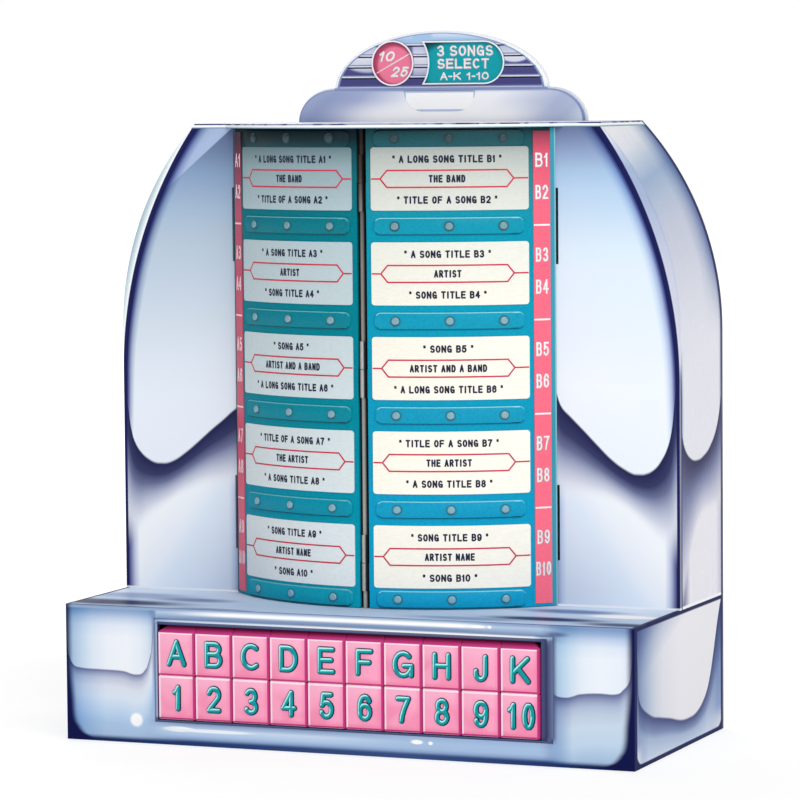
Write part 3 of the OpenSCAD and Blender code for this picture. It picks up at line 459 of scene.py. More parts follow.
at_left = overlap(soft(z, 56.4, 55.4), add("Mix", {0: soft(z, 8.5, 12.5), 2: soft(x, -66.0, -98.0),
                                                   3: soft(x, -82.6, -84.8)}))
front = coats(rows, (add("Math MAXIMUM", at_left, at_right), ends))
# Painted shade: a dark groove beside the key opening's right edge, a dark spot where its top turns, and a
# dark line down the bend at its left
groove = overlap(soft(add("Math ABSOLUTE", add("Math SUBTRACT", x, 90.4)), 2.6, 0.0),
                 soft(z, 8.5, 12.5), soft(z, 54.6, 51.5))
turn = spot(x, z, (92.6, 53.4), (7, 1.5))
left_bend = overlap(soft(add("Math ABSOLUTE", add("Math ADD", x, 84.6)), 1.5, 0.0),
                    soft(z, 20.0, 36.0), soft(z, 54.8, 53.0))
# The corners are dark outside a line that leans in at the foot, on the left as on the right
pale_end = add("FloatCurve", z, curve={0: 112, 2.2: 116, 3.6: 118.4, 5.9: 120.4, 10: 122.4, 18: 123.1,
                                       31: 124.3, 40: 124.5, 57: 124.5})
corner = add("Math SUBTRACT", add("Math ADD", x, add("Math MAXIMUM", add("Math MULTIPLY", x, -2.0), 0.7)),
             pale_end)
front = coats(front, (groove, "#56597f"), (turn, "#5f6d95"), (overlap(left_bend, 0.7), "#6f82ab"),
              (soft(z, 3.4, 1.2), add("ValToRGB", x, stops={-125: "#0f2251", -80: "#22376b", 30: "#3a5080",
                                                           90: "#22376b", 112: "#14204f"})),
              (soft(corner, -3.0, 0.6), "#14194a"),
              (soft(z, 56.9, 57.15), "#5a6890"))
print("front mixed")

# %% Sides of the base: a lobe that is nearly as wide as the face, with a U below
low = add("FloatCurve", y, curve={-58: 60, -56: 48, -54.4: 41, -53.3: 29.6, -51: 26, -47.2: 23.4, -41: 20.8,
                                  -34.9: 18.8, -27: 17.4, -19.9: 16.2, -12: 14.8, -4.6: 13.2, 3: 12, 11: 11.7,
                                  18: 12, 24.2: 13.4, 30: 16, 35: 19.6, 39.5: 25.5, 43.2: 32.6, 46.5: 40,
                                  50.1: 48, 54.3: 55.4, 58: 60})
flank = add("ValToRGB", y, stops={-57: "#7384ab", -53: "#8494b8", -48: "#9aaac9", -41: "#b5c2d7",
                                  -33: "#cfd6e1", -22: "#e2e3ea", 0: "#eae9ef", 54: "#e9e9ed"})
# The face is darker towards its upper front corner
front_top = add("Math SUBTRACT", z, add("Math MULTIPLY", y, 0.35))
flank = glaze(flank, add("ValToRGB", front_top, stops={52: "#ffffff", 62: "#dde2ee", 70: "#a9b3cf",
                                                       76: "#8f9bc0"}))
lower = add("ValToRGB", depth_under(low, z, -2.0), stops={0: "#414a78", 0.12: "#5b6794", 0.3: "#7f8fb6",
                                                          0.44: "#a9b9d5", 0.7: "#c0cfe5", 0.92: "#d6dfee"})
lower = glaze(lower, add("ValToRGB", y, stops={-54: "#d5dbea", -40: "#ffffff", 36: "#ffffff", 50: "#bcc6e0"}))
lower = coats(lower, (overlap(soft(y, 30.0, 54.0), soft(z, 12.0, 3.0)), "#d3dae8"),
              (overlap(soft(y, -47.0, -54.0), soft(z, 11.0, 4.0)), "#d9e0ec"))
corners = distance(add("Math MAXIMUM", add("Math SUBTRACT", add("Math ABSOLUTE", y), 48.0), 0.0),
                   add("Math MAXIMUM", add("Math SUBTRACT", 10.3, z), 0.0))
flank = coats(lower, (soft(add("Math SUBTRACT", z, low), -0.6, 0.6), flank), (soft(corners, 8.0, 9.2), NAVY),
              (soft(z, 55.2, 55.9), NAVY), (soft(y, 53.8, 54.8), NAVY), (soft(z, 2.4, 1.8), NAVY),
              (soft(y, -54.2, -55.6), NAVY))
print("sides mixed")

# %% Deck: dull blue with dark swooshes that run out from its front corners
deck = coats(add("ValToRGB", y, stops={-58: "#c6d8f0", -40: "#bfd2ec", -10: "#cfe0f4", 20: "#d6e6f8"}),
             (overlap(soft(y, -34.0, -6.0), soft(side, 84.0, 112.0)), "#d9e6f7"))
deck = dabs(deck, x, y, ((-108, -24), (42, 15), 0.9, "#9dafd0"), ((-78, -31), (30, 10), 0.9, "#788db6"),
            ((-112, -47), (62, 15), 0.85, "#1f2c5c"), ((-60, -56), (30, 5), 0.8, "#8ea2c8"),
            ((84, -17), (38, 11), 0.9, "#6c88b4"), ((110, -26), (22, 8), 0.6, "#ffffff"),
            ((50, -50), (40, 8), 0.8, "#90a8cc"), ((82, -42), (42, 10), 0.85, "#2b3f6c"),
            ((118, -50), (32, 9), 0.9, "#3d4e78"))
deck = coats(deck, (soft(side, HALF_WIDE - 1.9, HALF_WIDE - 1.2), NAVY), (soft(y, -57.2, -57.8), "#8b9dbb"),
             (overlap(soft(y, -56.6, -57.2), soft(side, 84.0, 98.0)), "#2b3264"))
colour = coats("#8b9dc0", (soft(z, DECK_Z - 0.2, DECK_Z - 0.1), deck),
               (soft(y, FRONT_Y + 0.2, FRONT_Y + 0.1), front),
               (soft(side, HALF_WIDE - 0.2, HALF_WIDE - 0.1), flank))
finish(colour, (0.3, 0.42), 1.2, 0.003, Specular_IOR_Level=0.01)
paint(base_paint, "base_housing")
print("base painted with", len(tree.nodes), "nodes")

# %% [markdown]
# ## Frame round the keys, hood and crest
# These are the same sprayed enamel. The key frame is a step down into the base, with painted light along its
# top and left, and painted shade in a groove at its right and under the keys. The hood is a thin plate whose
# front edge has a painted highlight. The crest is a chrome grille in paint: dark slate bars, white lines, and
# painted pale reflections that cross them.

# %% Key frame paint
bezel_paint = new_material("airbrushed_enamel_key_frame")
vector, x, y, z = place_in_mm()
top_row = add("ValToRGB", z, stops={49.6: "#4f4560", 50.15: "#7d86ab", 50.45: "#b3c6e2", 50.8: "#ecf3fb",
                                    51.2: "#ffffff", 51.9: "#ffffff", 52.3: "#b5c9e4", 52.8: "#7d92b5"})
top_row = glaze(top_row, add("ValToRGB", x, stops={-84: "#a9bfdf", -76: "#cbdcf0", -50: "#deeaf7",
                                                   -15: "#f4f9fe", 60: "#ffffff", 82: "#f2f7fd",
                                                   85: "#b9cbe3"}))
# Painted light on the top row and left wall. Painted shade in the groove at the right, on the strip under the
# keys and on the frame's inner walls
groove = add("ValToRGB", x, stops={84.6: "#b3c3dd", 85.4: "#8397bb", 86.6: "#5b6288", 88.2: "#4a4a70",
                                   89.6: "#5f6d95", 91: "#8fa9cc"})
groove = coats(groove, (soft(z, 48.0, 52.4), "#6d7da4"))
left_wall = add("ValToRGB", x, stops={-84.6: "#6d84ab", -83.9: "#a9bedb", -83.2: "#8ba0bf"})
colour = coats(top_row, (overlap(soft(x, 85.0, 86.0), soft(z, 52.6, 50.0)), groove),
               (overlap(soft(x, -83.2, -83.6), soft(z, 51.0, 50.0)), left_wall),
               (soft(z, 12.0, 10.8), "#59628a"), (soft(y, -56.7, -56.3), "#3f4670"))
finish(colour, **GLOSS)
paint(bezel_paint, "key_bezel")
print("key frame painted")

# %% Hood paint
hood_paint = new_material("airbrushed_enamel_hood")
vector, x, y, z = place_in_mm()
# Painted reflections: dark streaks across the top and along the upper part of the front edge, which has a
# painted highlight. The underside gets painted shade, and the top is darker towards the crest
reflection_streaks = add("TexNoise", {"Vector": add("VectorMath MULTIPLY", vector, (0.03, 0.25, 0.1)), "Scale": 1.0,
                           "Detail": 3.0})
edge = add("ValToRGB", z, stops={254: "#40616f", 254.4: "#a9c9d2", 254.7: "#f8fbfe", 255.2: "#ffffff",
                                 255.5: "#aebad6", 256: "#46507c"})
edge = coats(edge, (overlap(soft(z, 255.2, 255.6), soft(reflection_streaks, 0.46, 0.54)), "#2c3266"))
above = coats("#f4f6fb", (overlap(soft(reflection_streaks, 0.46, 0.56), soft(y, -12.0, -30.0)), "#3c4272"),
              (soft(y, 48.0, 52.0), "#66719c"))
colour = coats(edge, (soft(z, 255.9, 255.98), above), (soft(z, 254.06, 254.02), "#59648c"))
finish(colour, **GLOSS)
paint(hood_paint, "hood")
print("hood painted")

# %% Crest paint
shoulder_paint = new_material("airbrushed_enamel_shoulder")
vector, x, y, z = place_in_mm()
slant = add("Math ADD", x, add("Math MULTIPLY", add("Math SUBTRACT", 263.0, z), 1.1))
colour = add("ValToRGB", slant, stops={-68: "#a9b5d6", -54: "#99a6cc", -40: "#a9b3d6", -26: "#d6dcee",
                                       -14: "#f6f8fc", 0: "#fdfdff", 22: "#f6f8fc", 38: "#d5dbec",
                                       52: "#b4bedc", 62: "#b9c6e0", 70: "#dbe6f4"})
side = add("Math ABSOLUTE", x)
past_middle = add("Math MAXIMUM", add("Math SUBTRACT", side, 49.2), 0.0)
end_arch = distance(add("Math DIVIDE", past_middle, 16.2),
                    add("Math DIVIDE", add("Math SUBTRACT", z, 256.0), 13.7))
colour = coats(colour, (overlap(soft(z, 266.0, 258.0), soft(side, 58.0, 22.0)), "#ffffff"),
               (soft(z, 268.0, 270.0), "#aab6d8"), (soft(end_arch, 0.94, 0.98), "#8b9ac4"))
finish(colour, **GLOSS)
paint(shoulder_paint, "shoulder_plate")

dome_paint = new_material("airbrushed_enamel_dome")
vector, x, y, z = place_in_mm()
bars = add("ValToRGB", z, stops={270: "#54548a", 273: "#4b4a80", 277: "#504f85", 281: "#56568c",
                                 285: "#5f6396", 288: "#6a70a2", 289: "#9fbfe4", 291: "#a7c6e8",
                                 293: "#cfe0f2", 294.5: "#f6fafd"})
# Painted pale reflections cross the dark bars in two ovals and a narrow band; glass holds their colours
lens = add("Math MAXIMUM", soft(spot(x, z, (-33, 283.5), (17, 9)), 0.1, 0.3),
           add("Math MAXIMUM", soft(spot(x, z, (34, 285.5), (12, 7)), 0.2, 0.4),
               overlap(soft(x, -13.2, -11.6), soft(x, -2.5, -4.5))))
glass = add("ValToRGB", z, stops={274: "#8386b0", 278: "#c3c6de", 283: "#dfe1ee", 288: "#b9c0dc",
                                  290: "#a9c6e6"})
step = add("Math FRACT", add("Math DIVIDE", add("Math SUBTRACT", z, 270.5), 4.55))
line = add("ValToRGB", step, stops={0.0: "#f4f6fc", 0.04: "#f4f6fc", 0.08: "#8b8fb8", 0.8: "#6d6f9f",
                                    0.84: "#14163c", 0.93: "#14163c", 0.96: "#e8ebf6", 1.0: "#ffffff"})
lined = overlap(soft(add("Math PINGPONG", add("Math SUBTRACT", step, 0.5), 0.5), 0.3, 0.34),
                soft(z, 290.0, 288.6))
rim = distance(add("Math DIVIDE", x, 48.6), add("Math DIVIDE", add("Math SUBTRACT", z, 269.5), 24.9))
colour = coats(bars, (overlap(lens, soft(z, 275.0, 275.6)), glass), (lined, line),
               (soft(rim, 0.952, 0.966), "#8b9dc6"), (soft(rim, 0.974, 0.98), "#fbfdff"))
finish(colour, **GLOSS)
paint(dome_paint, "dome_plate")
print("crest painted")

# %% [markdown]
# ## Plain finishes
# The rest are everyday finishes of such a case: satin enamel on the floor, zinc on the screws, rubber
# feet, moulded plastics, a green circuit board, pressed paper on the speaker. Each gets the grain of
# its own process, and a little unevenness where dust, handling or the mould would leave it.

# %% Enamels and metals
def plain(name, colour, rough, grain, height, *names, **more):
    """A finish of one colour with its own grain, given to the CAD nodes that are named."""
    made = new_material(name)
    finish(colour, rough, grain, height, **more)
    paint(made, *names)
    return made


# Satin enamel, sprayed and stoved: a broad, soft shine with some orange peel
plain("satin_enamel_floor", "#4a4e58", (0.45, 0.6), 1.2, 0.015, "base_floor", fleck="#3f434c")
plain("satin_enamel_black", "#16161b", (0.35, 0.5), 1.0, 0.01, "spine_post", "speaker_frame",
      fleck="#202027")
plain("satin_enamel_white", "#f1f1ec", (0.45, 0.6), 1.2, 0.01, "light_box", fleck="#e6e6e0")
# Zinc plate: a bright metal that goes cloudy and a little yellow from spot to spot
zinc = plain("zinc_plated_steel", "#b9bcc2", (0.22, 0.42), 0.5, 0.006, "floor_screws", fleck="#a7a68f",
             Metallic=1.0)
# Drawn wire: bright, with the fine lines that the die leaves along it
wire = plain("drawn_spring_wire", "#a6a8ae", (0.25, 0.38), 0.3, 0.008, Metallic=1.0, stretch=(1, 6, 1))

# Ground steel, with painted light: the pin stands in a narrow gap between the leaves, so it has a painted
# highlight down its middle, painted shade at both sides, and painted shade towards the top under the hood
pin_steel = new_material("ground_polished_steel")
vector, x, y, z = place_in_mm()
colour = glaze(add("ValToRGB", z, stops={60: "#b9b5b1", 200: "#8d8883", 236: "#4a423d", 250: "#1d1916"}),
               add("ValToRGB", x, stops={-1.9: "#15161a", -1.0: "#8a8886", -0.2: "#ffffff", 0.5: "#d8d6d4",
                                         1.1: "#4b4b50", 1.9: "#0c0e13"}))
finish(colour, (0.3, 0.42), 0.25, 0.003, stretch=(1, 1, 5), Metallic=0.3, Specular_IOR_Level=0.2)
paint(pin_steel, "spine_pin")
print("enamels and metals mixed")

# %% Plastics, rubber, paper and boards
# Moulded plastics: the mould's fine texture makes the shine even and dull; the lamp's is polished
plain("moulded_guide_plastic", "#6b6e74", (0.5, 0.62), 0.9, 0.02, "key_guide", fleck="#62656b")
plain("moulded_switch_plastic", "#1d1d20", (0.4, 0.55), 0.7, 0.015, "key_switches", fleck="#26262a")
plain("moulded_lamp_plastic", "#f3f3f6", (0.26, 0.36), 1.4, 0.008, "lamp_holders", fleck="#e9eaf2")
# Rubber: nearly no shine, and paler where it has been rubbed
plain("moulded_rubber", "#1c1c1d", (0.68, 0.82), 0.6, 0.03, "feet", "cable_gland", fleck="#2a2a2a",
      Specular_IOR_Level=0.3)
# Pressed paper: no shine, and a coarse felt of fibres
plain("pressed_cone_paper", "#303134", (0.75, 0.9), 0.5, 0.05, "speaker_cone", fleck="#3a3b3e")

# Solder mask over copper on laminate: glossy green, paler where a track lifts it, grey and dark parts on it
board_paint = new_material("solder_mask_laminate")
vector, x, y, z = place_in_mm()
upright = add("TexBrick", {"Vector": add("Mapping", {"Vector": vector, "Rotation": (math.pi / 2, 0, 0)}),
                           "Scale": 0.5, "Mortar Size": 0.06, "Brick Width": 1.6, "Row Height": 0.7},
              out="Fac")
flat = add("TexBrick", {"Vector": vector, "Scale": 0.4, "Mortar Size": 0.05, "Brick Width": 2.2,
                        "Row Height": 0.8}, out="Fac")
tracks = add("Mix", {0: soft(y, -22.0, -20.0), 2: upright, 3: flat})
parts = overlap(soft(z, 11.3, 11.35), soft(y, -23.9, -23.8))
colour = coats("#0f5a34", (tracks, "#2b8a58"), (parts, "#8d9096"),
               (overlap(parts, soft(x, -10.0, -9.0)), "#2a3348"))
finish(colour, (0.3, 0.42), 0.8, 0.02)
paint(board_paint, "switch_board", "sound_board")

# Opal glass: smooth, faintly warm, grey towards its ends and brass beyond them
lamp_glass = new_material("opal_lamp_glass")
vector, x, y, z = place_in_mm()
side = add("Math ABSOLUTE", x)
colour = coats("#f7f5ec", (soft(side, 40.0, 56.0), "#cfcabb"), (soft(side, 55.9, 56.1), "#b58b4c"))
finish(colour, (0.1, 0.2), 3.0, 0.004, Emission_Color=(1.0, 0.93, 0.8, 1.0), Emission_Strength=0.15)
paint(lamp_glass, "lamp_tube")

# White plastic: a clean face, and a rim in painted bluish shade
coin_paint = new_material("moulded_white_coin_plate")
vector, x, y, z = place_in_mm()
over_x = add("Math SUBTRACT", add("Math ABSOLUTE", x), 15.5)
over_z = add("Math SUBTRACT", add("Math ABSOLUTE", add("Math SUBTRACT", z, 264.75)), 3.55)
colour = coats("#ffffff", (soft(add("Math MAXIMUM", over_x, over_z), -0.1, 0.1), "#b9c8e6"))
finish(colour, (0.26, 0.36), 1.4, 0.004, Specular_IOR_Level=0.2)
paint(coin_paint, "coin_plate")
print("finishes so far", len(bpy.data.materials))

# %% [markdown]
# ## Leaves
# Each leaf is a sheet with a satin teal coat, with painted shade under the hood and painted light low down
# where the deck throws light back. Its hinge barrels are bare steel, rolled from the same sheet, so a mask
# by distance from the pin leaves them without the teal. Their steel gets a painted highlight and painted
# shade. A thin printed tint keeps the pattern of many fine dots.

# %% Leaf enamel
LEAF_R = 95.0
LEAF_FRONT = -33.5
LEAF_CY = LEAF_FRONT + LEAF_R
PIN_Y = LEAF_FRONT + 0.8
# The teal by height carries painted light: painted shade towards the top under the hood, deeper on the left
# leaf, and lighter low down as painted light from the deck
TEAL_LEFT = {58: "#0aa3bc", 98: "#0094ae", 140: "#008a9d", 175: "#008496", 214: "#007c8b", 234: "#146e7a",
             243: "#1b525b", 249: "#122c33", 254: "#0e1d22"}
TEAL_RIGHT = {58: "#0fa4cf", 98: "#0c9fc8", 130: "#0f9bc0", 175: "#0a9bbb", 214: "#0797b2", 230: "#278c9d",
              240: "#2c7d89", 246: "#225a63", 252: "#1b464d", 254: "#183f47"}


def dotted(shades, vector, z):
    """The teal coat with its printed tint of fine dots."""
    dots = add("TexNoise", {"Vector": vector, "Scale": 1.1, "Detail": 2.0, "Roughness": 0.7})
    return glaze(add("ValToRGB", z, stops=shades), add("ValToRGB", dots, stops={0.3: 0.86, 0.7: 1.06}))


def leaf_paint(name, shades, rim, edge):
    """Teal coat with bare barrels, and the colours of its outer rim and of its bent edge."""
    made = new_material(name)
    vector, x, y, z = place_in_mm()
    side = add("Math ABSOLUTE", x)
    reach = distance(x, add("Math SUBTRACT", y, PIN_Y))
    wear = add("TexNoise", {"Vector": add("VectorMath MULTIPLY", vector, (4.0, 4.0, 0.3)), "Scale": 1.0})
    # The barrels get a painted highlight down their middle, painted shade at their sides, and painted shade
    # towards the top under the hood
    steel = glaze(add("ValToRGB", wear, stops={0.3: "#a19d99", 0.7: "#c9c8c8"}),
                  add("ValToRGB", z, stops={200: "#ffffff", 234: "#6b6059", 250: "#2b2522"}),
                  add("ValToRGB", x, stops={-1.8: "#0c0e13", -1.1: "#2f3034", -0.4: "#f0eeec", 0.3: "#ffffff",
                                            0.9: "#3a3a3f", 1.6: "#0a0c12"}))
    colour = coats(dotted(shades, vector, z), (soft(side, 70.3, 70.7), rim), (soft(side, 71.6, 71.9), edge),
                   (soft(reach, 1.95, 1.88), steel))
    finish(colour, (0.42, 0.52), 0.9, 0.01, Specular_IOR_Level=0.05)
    return made


# The left leaf's rim and bent edge are painted darker than the right's: painted shade on the leaf that turns
# away from the light
paint(leaf_paint("satin_enamel_teal_left", TEAL_LEFT, "#246b78", "#16323c"), "left_leaf")
paint(leaf_paint("satin_enamel_teal_right", TEAL_RIGHT, "#3d98ad", "#86bccb"), "right_leaf")

# Printed card: pink ink with a fine mottle, and painted shade towards the top under the hood, deeper on the
# left leaf, which turns away from the light
index_print = new_material("printed_index_strip")
vector, x, y, z = place_in_mm()
pink = coats(add("ValToRGB", z, stops={58: "#ff6f87", 150: "#fb6a83", 225: "#f5657d", 244: "#d9526c",
                                       253: "#7e2b40"}),
             (soft(x, 5.0, -5.0), add("ValToRGB", z, stops={58: "#f0607b", 120: "#dd5672", 180: "#cf506c",
                                                            220: "#bf4c67", 238: "#8f3a51",
                                                            250: "#3f1a2a"})))
grain = add("TexNoise", {"Vector": vector, "Scale": 1.6, "Detail": 2.0})
colour = glaze(pink, add("ValToRGB", grain, stops={0.3: 0.92, 0.7: 1.04}))
finish(colour, (0.4, 0.5), 1.0, 0.008, Specular_IOR_Level=0.3)
paint(index_print, "left_index", "right_index")
print("leaves painted")

# %% [markdown]
# ## Modelling by hand, in code
# A new piece starts as a primitive and is shaped in edit mode. Nothing has a window here, so the helpers
# below do what the mouse would: make one object the only selected one, select by place, round and smooth
# its edges, copy and join it, and put the finished shape on a body.

# %% Small helpers for edit mode
def leave():
    bpy.ops.object.mode_set(mode="OBJECT")


def unselect():
    """Leaves edit mode and selects no object."""
    if bpy.context.object and bpy.context.object.mode != "OBJECT":
        leave()
    bpy.ops.object.select_all(action="DESELECT")


def only(piece):
    """Makes the piece the active and only selected object."""
    unselect()
    piece.select_set(True)
    bpy.context.view_layer.objects.active = piece


def start(operator, name, **settings):
    """Adds a primitive with a name and its place applied, as the only selected object."""
    unselect()
    operator(**settings)
    piece = bpy.context.object
    piece.name = name
    bpy.ops.object.transform_apply(location=True, rotation=True, scale=True)
    return piece


def everything(piece):
    """Enters edit mode with the whole piece selected."""
    only(piece)
    bpy.ops.object.mode_set(mode="EDIT")
    bpy.ops.mesh.select_all(action="SELECT")


def pick(piece, test, kind="VERT"):
    """In edit mode, selects the vertices, edges or faces whose middle in mm passes the test."""
    only(piece)
    bpy.ops.object.mode_set(mode="EDIT")
    bpy.ops.mesh.select_mode(type=kind)
    bpy.ops.mesh.select_all(action="DESELECT")
    leave()
    mesh = piece.data
    points = [v.co / MM for v in mesh.vertices]
    for element in {"VERT": mesh.vertices, "EDGE": mesh.edges, "FACE": mesh.polygons}[kind]:
        corners = [element.index] if kind == "VERT" else element.vertices
        element.select = bool(test(sum((points[v] for v in corners), Vector()) / len(corners)))
    bpy.ops.object.mode_set(mode="EDIT")


def pull(x, y, z):
    """Moves what is selected by mm."""
    bpy.ops.transform.translate(value=(x * MM, y * MM, z * MM))


def draw_out(reach):
    """Extrudes the selected faces along y by mm."""
    bpy.ops.mesh.extrude_region_move(TRANSFORM_OT_translate={"value": (0, reach * MM, 0)})


def face_outwards(piece):
    """Turns all faces the right way round."""
    everything(piece)
    bpy.ops.mesh.normals_make_consistent(inside=False)
    leave()


def soften(piece, width, segments, angle):
    """Rounds the edges with a bevel modifier and applies it."""
    only(piece)
    bevel = piece.modifiers.new("bevel", "BEVEL")
    bevel.width, bevel.segments = width * MM, segments
    bevel.limit_method, bevel.angle_limit = "ANGLE", math.radians(angle)
    bpy.ops.object.modifier_apply(modifier="bevel")


def smooth(piece, angle):
    """Shades smoothly across edges that are flatter than the angle in degrees."""
    only(piece)
    bpy.ops.object.shade_smooth_by_angle(angle=math.radians(angle))
    for modifier in list(piece.modifiers):
        bpy.ops.object.modifier_apply(modifier=modifier.name)


def copy_of(piece, name, move=(0, 0, 0)):
    """A copy with its own mesh, moved by mm."""
    twin = piece.copy()
    twin.data = piece.data.copy()
    twin.name = name
    bpy.context.scene.collection.objects.link(twin)
    twin.data.transform(Matrix.Translation(Vector(move) * MM))
    return twin


def repeated(piece, places):
    """Copies of a pattern at places in mm. The pattern itself goes."""
    copies = [copy_of(piece, piece.name, place) for place in places]
    bpy.data.objects.remove(piece)
    return copies


def joined(pieces, name):
    """Several pieces as one object."""
    only(pieces[0])
    for piece in pieces:
        piece.select_set(True)
    bpy.ops.object.join()
    pieces[0].name = name
    return pieces[0]


def dress(piece, material):
    """Gives the piece one material."""
    piece.data.materials.clear()
    piece.data.materials.append(material)


def hand_over(piece, body, slot, *replaced):
    """Puts a finished piece on its body and hides the CAD nodes that it stands for; its slot, which names its
    finish, is not used.
    """
    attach(piece, body)
    if replaced:
        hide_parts(*replaced)


print("helpers ready")

# %% [markdown]
# ## Push keys
# A real key is injection-moulded ABS: a cap with rounded edges on a square stem that ends in two barbs.
# The upper row has a sloped shelf along its top, painted a deeper pink as painted shade.
# One cap is modelled for each row: a cube, cut where the slope starts, its top edge pushed back, and all
# edges rounded. The copies are moved to their places, and the two outer ones have their shelf mitred.

# %% Key sizes from the imported model
LETTERS = "abcdefghjk"
KEYS = [("key_" + c, c.upper()) for c in LETTERS] + [("key_%d" % n, str(n)) for n in range(1, 11)]
first_low, first_high = (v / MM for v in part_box("key_1"))
upper_low, upper_high = (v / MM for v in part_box("key_a"))
PITCH = (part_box("key_2")[0].x / MM) - first_low.x
KEY_W = first_high.x - first_low.x
RISE = 0.65  # how far a legend stands out of its cap
FACE_Y = first_low.y + RISE
KEY_BACK = -50.0
ROW_PITCH = 18.2
SPREAD = 0.4  # the caps nearly touch
STEM_UP = 8.9  # the stem's middle, above the cap's lower edge
SHELF_UP, SHELF_BACK, MITRE = 17.8, 3.5, 3.1
STEM_HALF, STEM_BACK, BARB, STEM_TIP = 2.0, 12.5, 1.0, 4.1
print("key pitch", round(PITCH, 2), "mm, cap", round(KEY_W, 2), "mm wide, face at y", round(FACE_Y, 2))


# %% One cap per row
def key_cap(name, low, high, shelf):
    """A cap with its stem, and with a sloped shelf along its top if it has one."""
    size = Vector((KEY_W + SPREAD, KEY_BACK - FACE_Y, high.z - low.z + SPREAD))
    middle = Vector(((low.x + KEY_W / 2), (FACE_Y + KEY_BACK) / 2, (low.z + high.z) / 2))
    cap = start(bpy.ops.mesh.primitive_cube_add, name, size=MM, location=middle * MM)
    everything(cap)
    bpy.ops.transform.resize(value=size, center_override=middle * MM)
    if shelf:
        bpy.ops.mesh.bisect(plane_co=(0, 0, (low.z + SHELF_UP) * MM), plane_no=(0, 0, 1))
        pick(cap, lambda p: p.z > high.z and p.y < FACE_Y + 0.1)
        pull(0, SHELF_BACK, 0)

    # The stem is the back face, inset to a square and drawn out in three steps; the middle one is the barbs
    stem = Vector((low.x + KEY_W / 2, 0, low.z + STEM_UP))
    pick(cap, lambda p: p.y > KEY_BACK - 0.1, "FACE")
    bpy.ops.mesh.inset(thickness=5.2 * MM, depth=0)
    pick(cap, lambda p: p.y > KEY_BACK - 0.1 and abs(p.x - stem.x) < 4 and abs(p.z - stem.z) < 7)
    leave()
    for v in cap.data.vertices:
        if v.select:
            v.co.x = (stem.x + math.copysign(STEM_HALF, v.co.x / MM - stem.x)) * MM
            v.co.z = (stem.z + math.copysign(STEM_HALF, v.co.z / MM - stem.z)) * MM
    for reach in (STEM_BACK, BARB, STEM_TIP):
        end = max(v.co.y for v in cap.data.vertices) / MM
        pick(cap, lambda p: p.y > end - 0.05 and abs(p.x - stem.x) < 1.9, "FACE")
        draw_out(reach)
        leave()
    barb_y = KEY_BACK + STEM_BACK + BARB / 2
    pick(cap, lambda p: abs(abs(p.x - stem.x) - STEM_HALF) < 0.05 and abs(p.y - barb_y) < 0.6, "FACE")
    bpy.ops.transform.resize(value=(1.25, 1, 1), center_override=(stem.x * MM, 0, 0))
    leave()
    print(name, "faces", len(cap.data.polygons))
    return cap


upper_cap = key_cap("upper_cap", upper_low, upper_high, True)
lower_cap = key_cap("lower_cap", first_low, first_high, False)

# %% [markdown]
# The pink ABS is smooth and slightly cloudy. Its moulded edges get a painted highlight at the top and
# left, and painted shade at the lower right, where two caps shade each other, and in the gaps at their sides.
# Each face is painted lighter towards its top and darker towards its foot and right. The place inside
# one cap's own cell finds those edges, so one material serves all twenty.

# %% Key plastic
key_pink = new_material("moulded_key_plastic")
vector, x, y, z = place_in_mm()
cell_x, cell_z = (
    add("Math MULTIPLY", add("Math FRACT", add("Math DIVIDE", add("Math SUBTRACT", at, first), step)), step)
    for at, first, step in ((x, first_low.x, PITCH), (z, first_low.z, ROW_PITCH)))
cloud = add("TexNoise", {"Vector": vector, "Scale": 0.09, "Detail": 1.0})
# Painted light on the face: lighter towards the top, darker towards the foot and the right edge
face = coats("#ffa6c6", (soft(cloud, 0.42, 0.62), "#fa94b8"),
             (soft(cell_z, 8.0, 17.0), "#ffb4d0"), (soft(cell_z, 3.0, 0.3), "#f585ac"),
             (overlap(soft(cell_x, 13.0, 16.4), 0.6), "#f27fa8"))
on_shelf, below_shelf = soft(z, 46.7, 46.9), soft(z, 47.0, 46.8)
lit = add("Math MAXIMUM", overlap(soft(cell_x, 1.15, 0.75), soft(cell_x, 0.15, 0.4), below_shelf),
          add("Math MAXIMUM", overlap(soft(cell_z, 16.9, 17.3), soft(z, 28.9, 28.8)),
              overlap(soft(z, 46.1, 46.5), below_shelf)))
# The shelf is a deeper pink and darker towards its back: painted shade
shelf = add("ValToRGB", z, stops={46.8: "#d24a8c", 47.4: "#c93b80", 48.6: "#b92f72", 49.6: "#8f2460"})
# A painted highlight on the top and left edges, and painted shade on the right and lower edges and on the
# sides in the gaps
colour = coats(face, (overlap(lit, 0.85), "#fff0f6"), (soft(cell_x, 15.3, 15.8), "#c0347a"),
               (soft(cell_z, 0.9, 0.5), "#c0347a"), (soft(cell_x, 0.3, 0.1), "#c8448a"), (on_shelf, shelf),
               (soft(y, FACE_Y + 1.0, FACE_Y + 1.8), "#a82a63"))
finish(colour, (0.3, 0.4), 1.5, 0.006, Specular_IOR_Level=0.12)
print("key plastic mixed")

# %% [markdown]
# The legends are a second shot of teal plastic that stands proud of the cap, with half-round strokes.
# They are plain letters and figures. Each is drawn by the middle lines of its strokes in a unit box; a
# round section is swept along them, with round ends, and pressed flat towards the cap.

# %% Strokes of the letters and figures
teal_abs = new_material("second_shot_teal_plastic")
vector, x, y, z = place_in_mm()
normal = add("TexCoord", out="Normal")
to_light = add("VectorMath DOT_PRODUCT", normal, (-0.62, 0.0, 0.78), out="Value")
outward = add("VectorMath DOT_PRODUCT", normal, (0.0, -1.0, 0.0), out="Value")
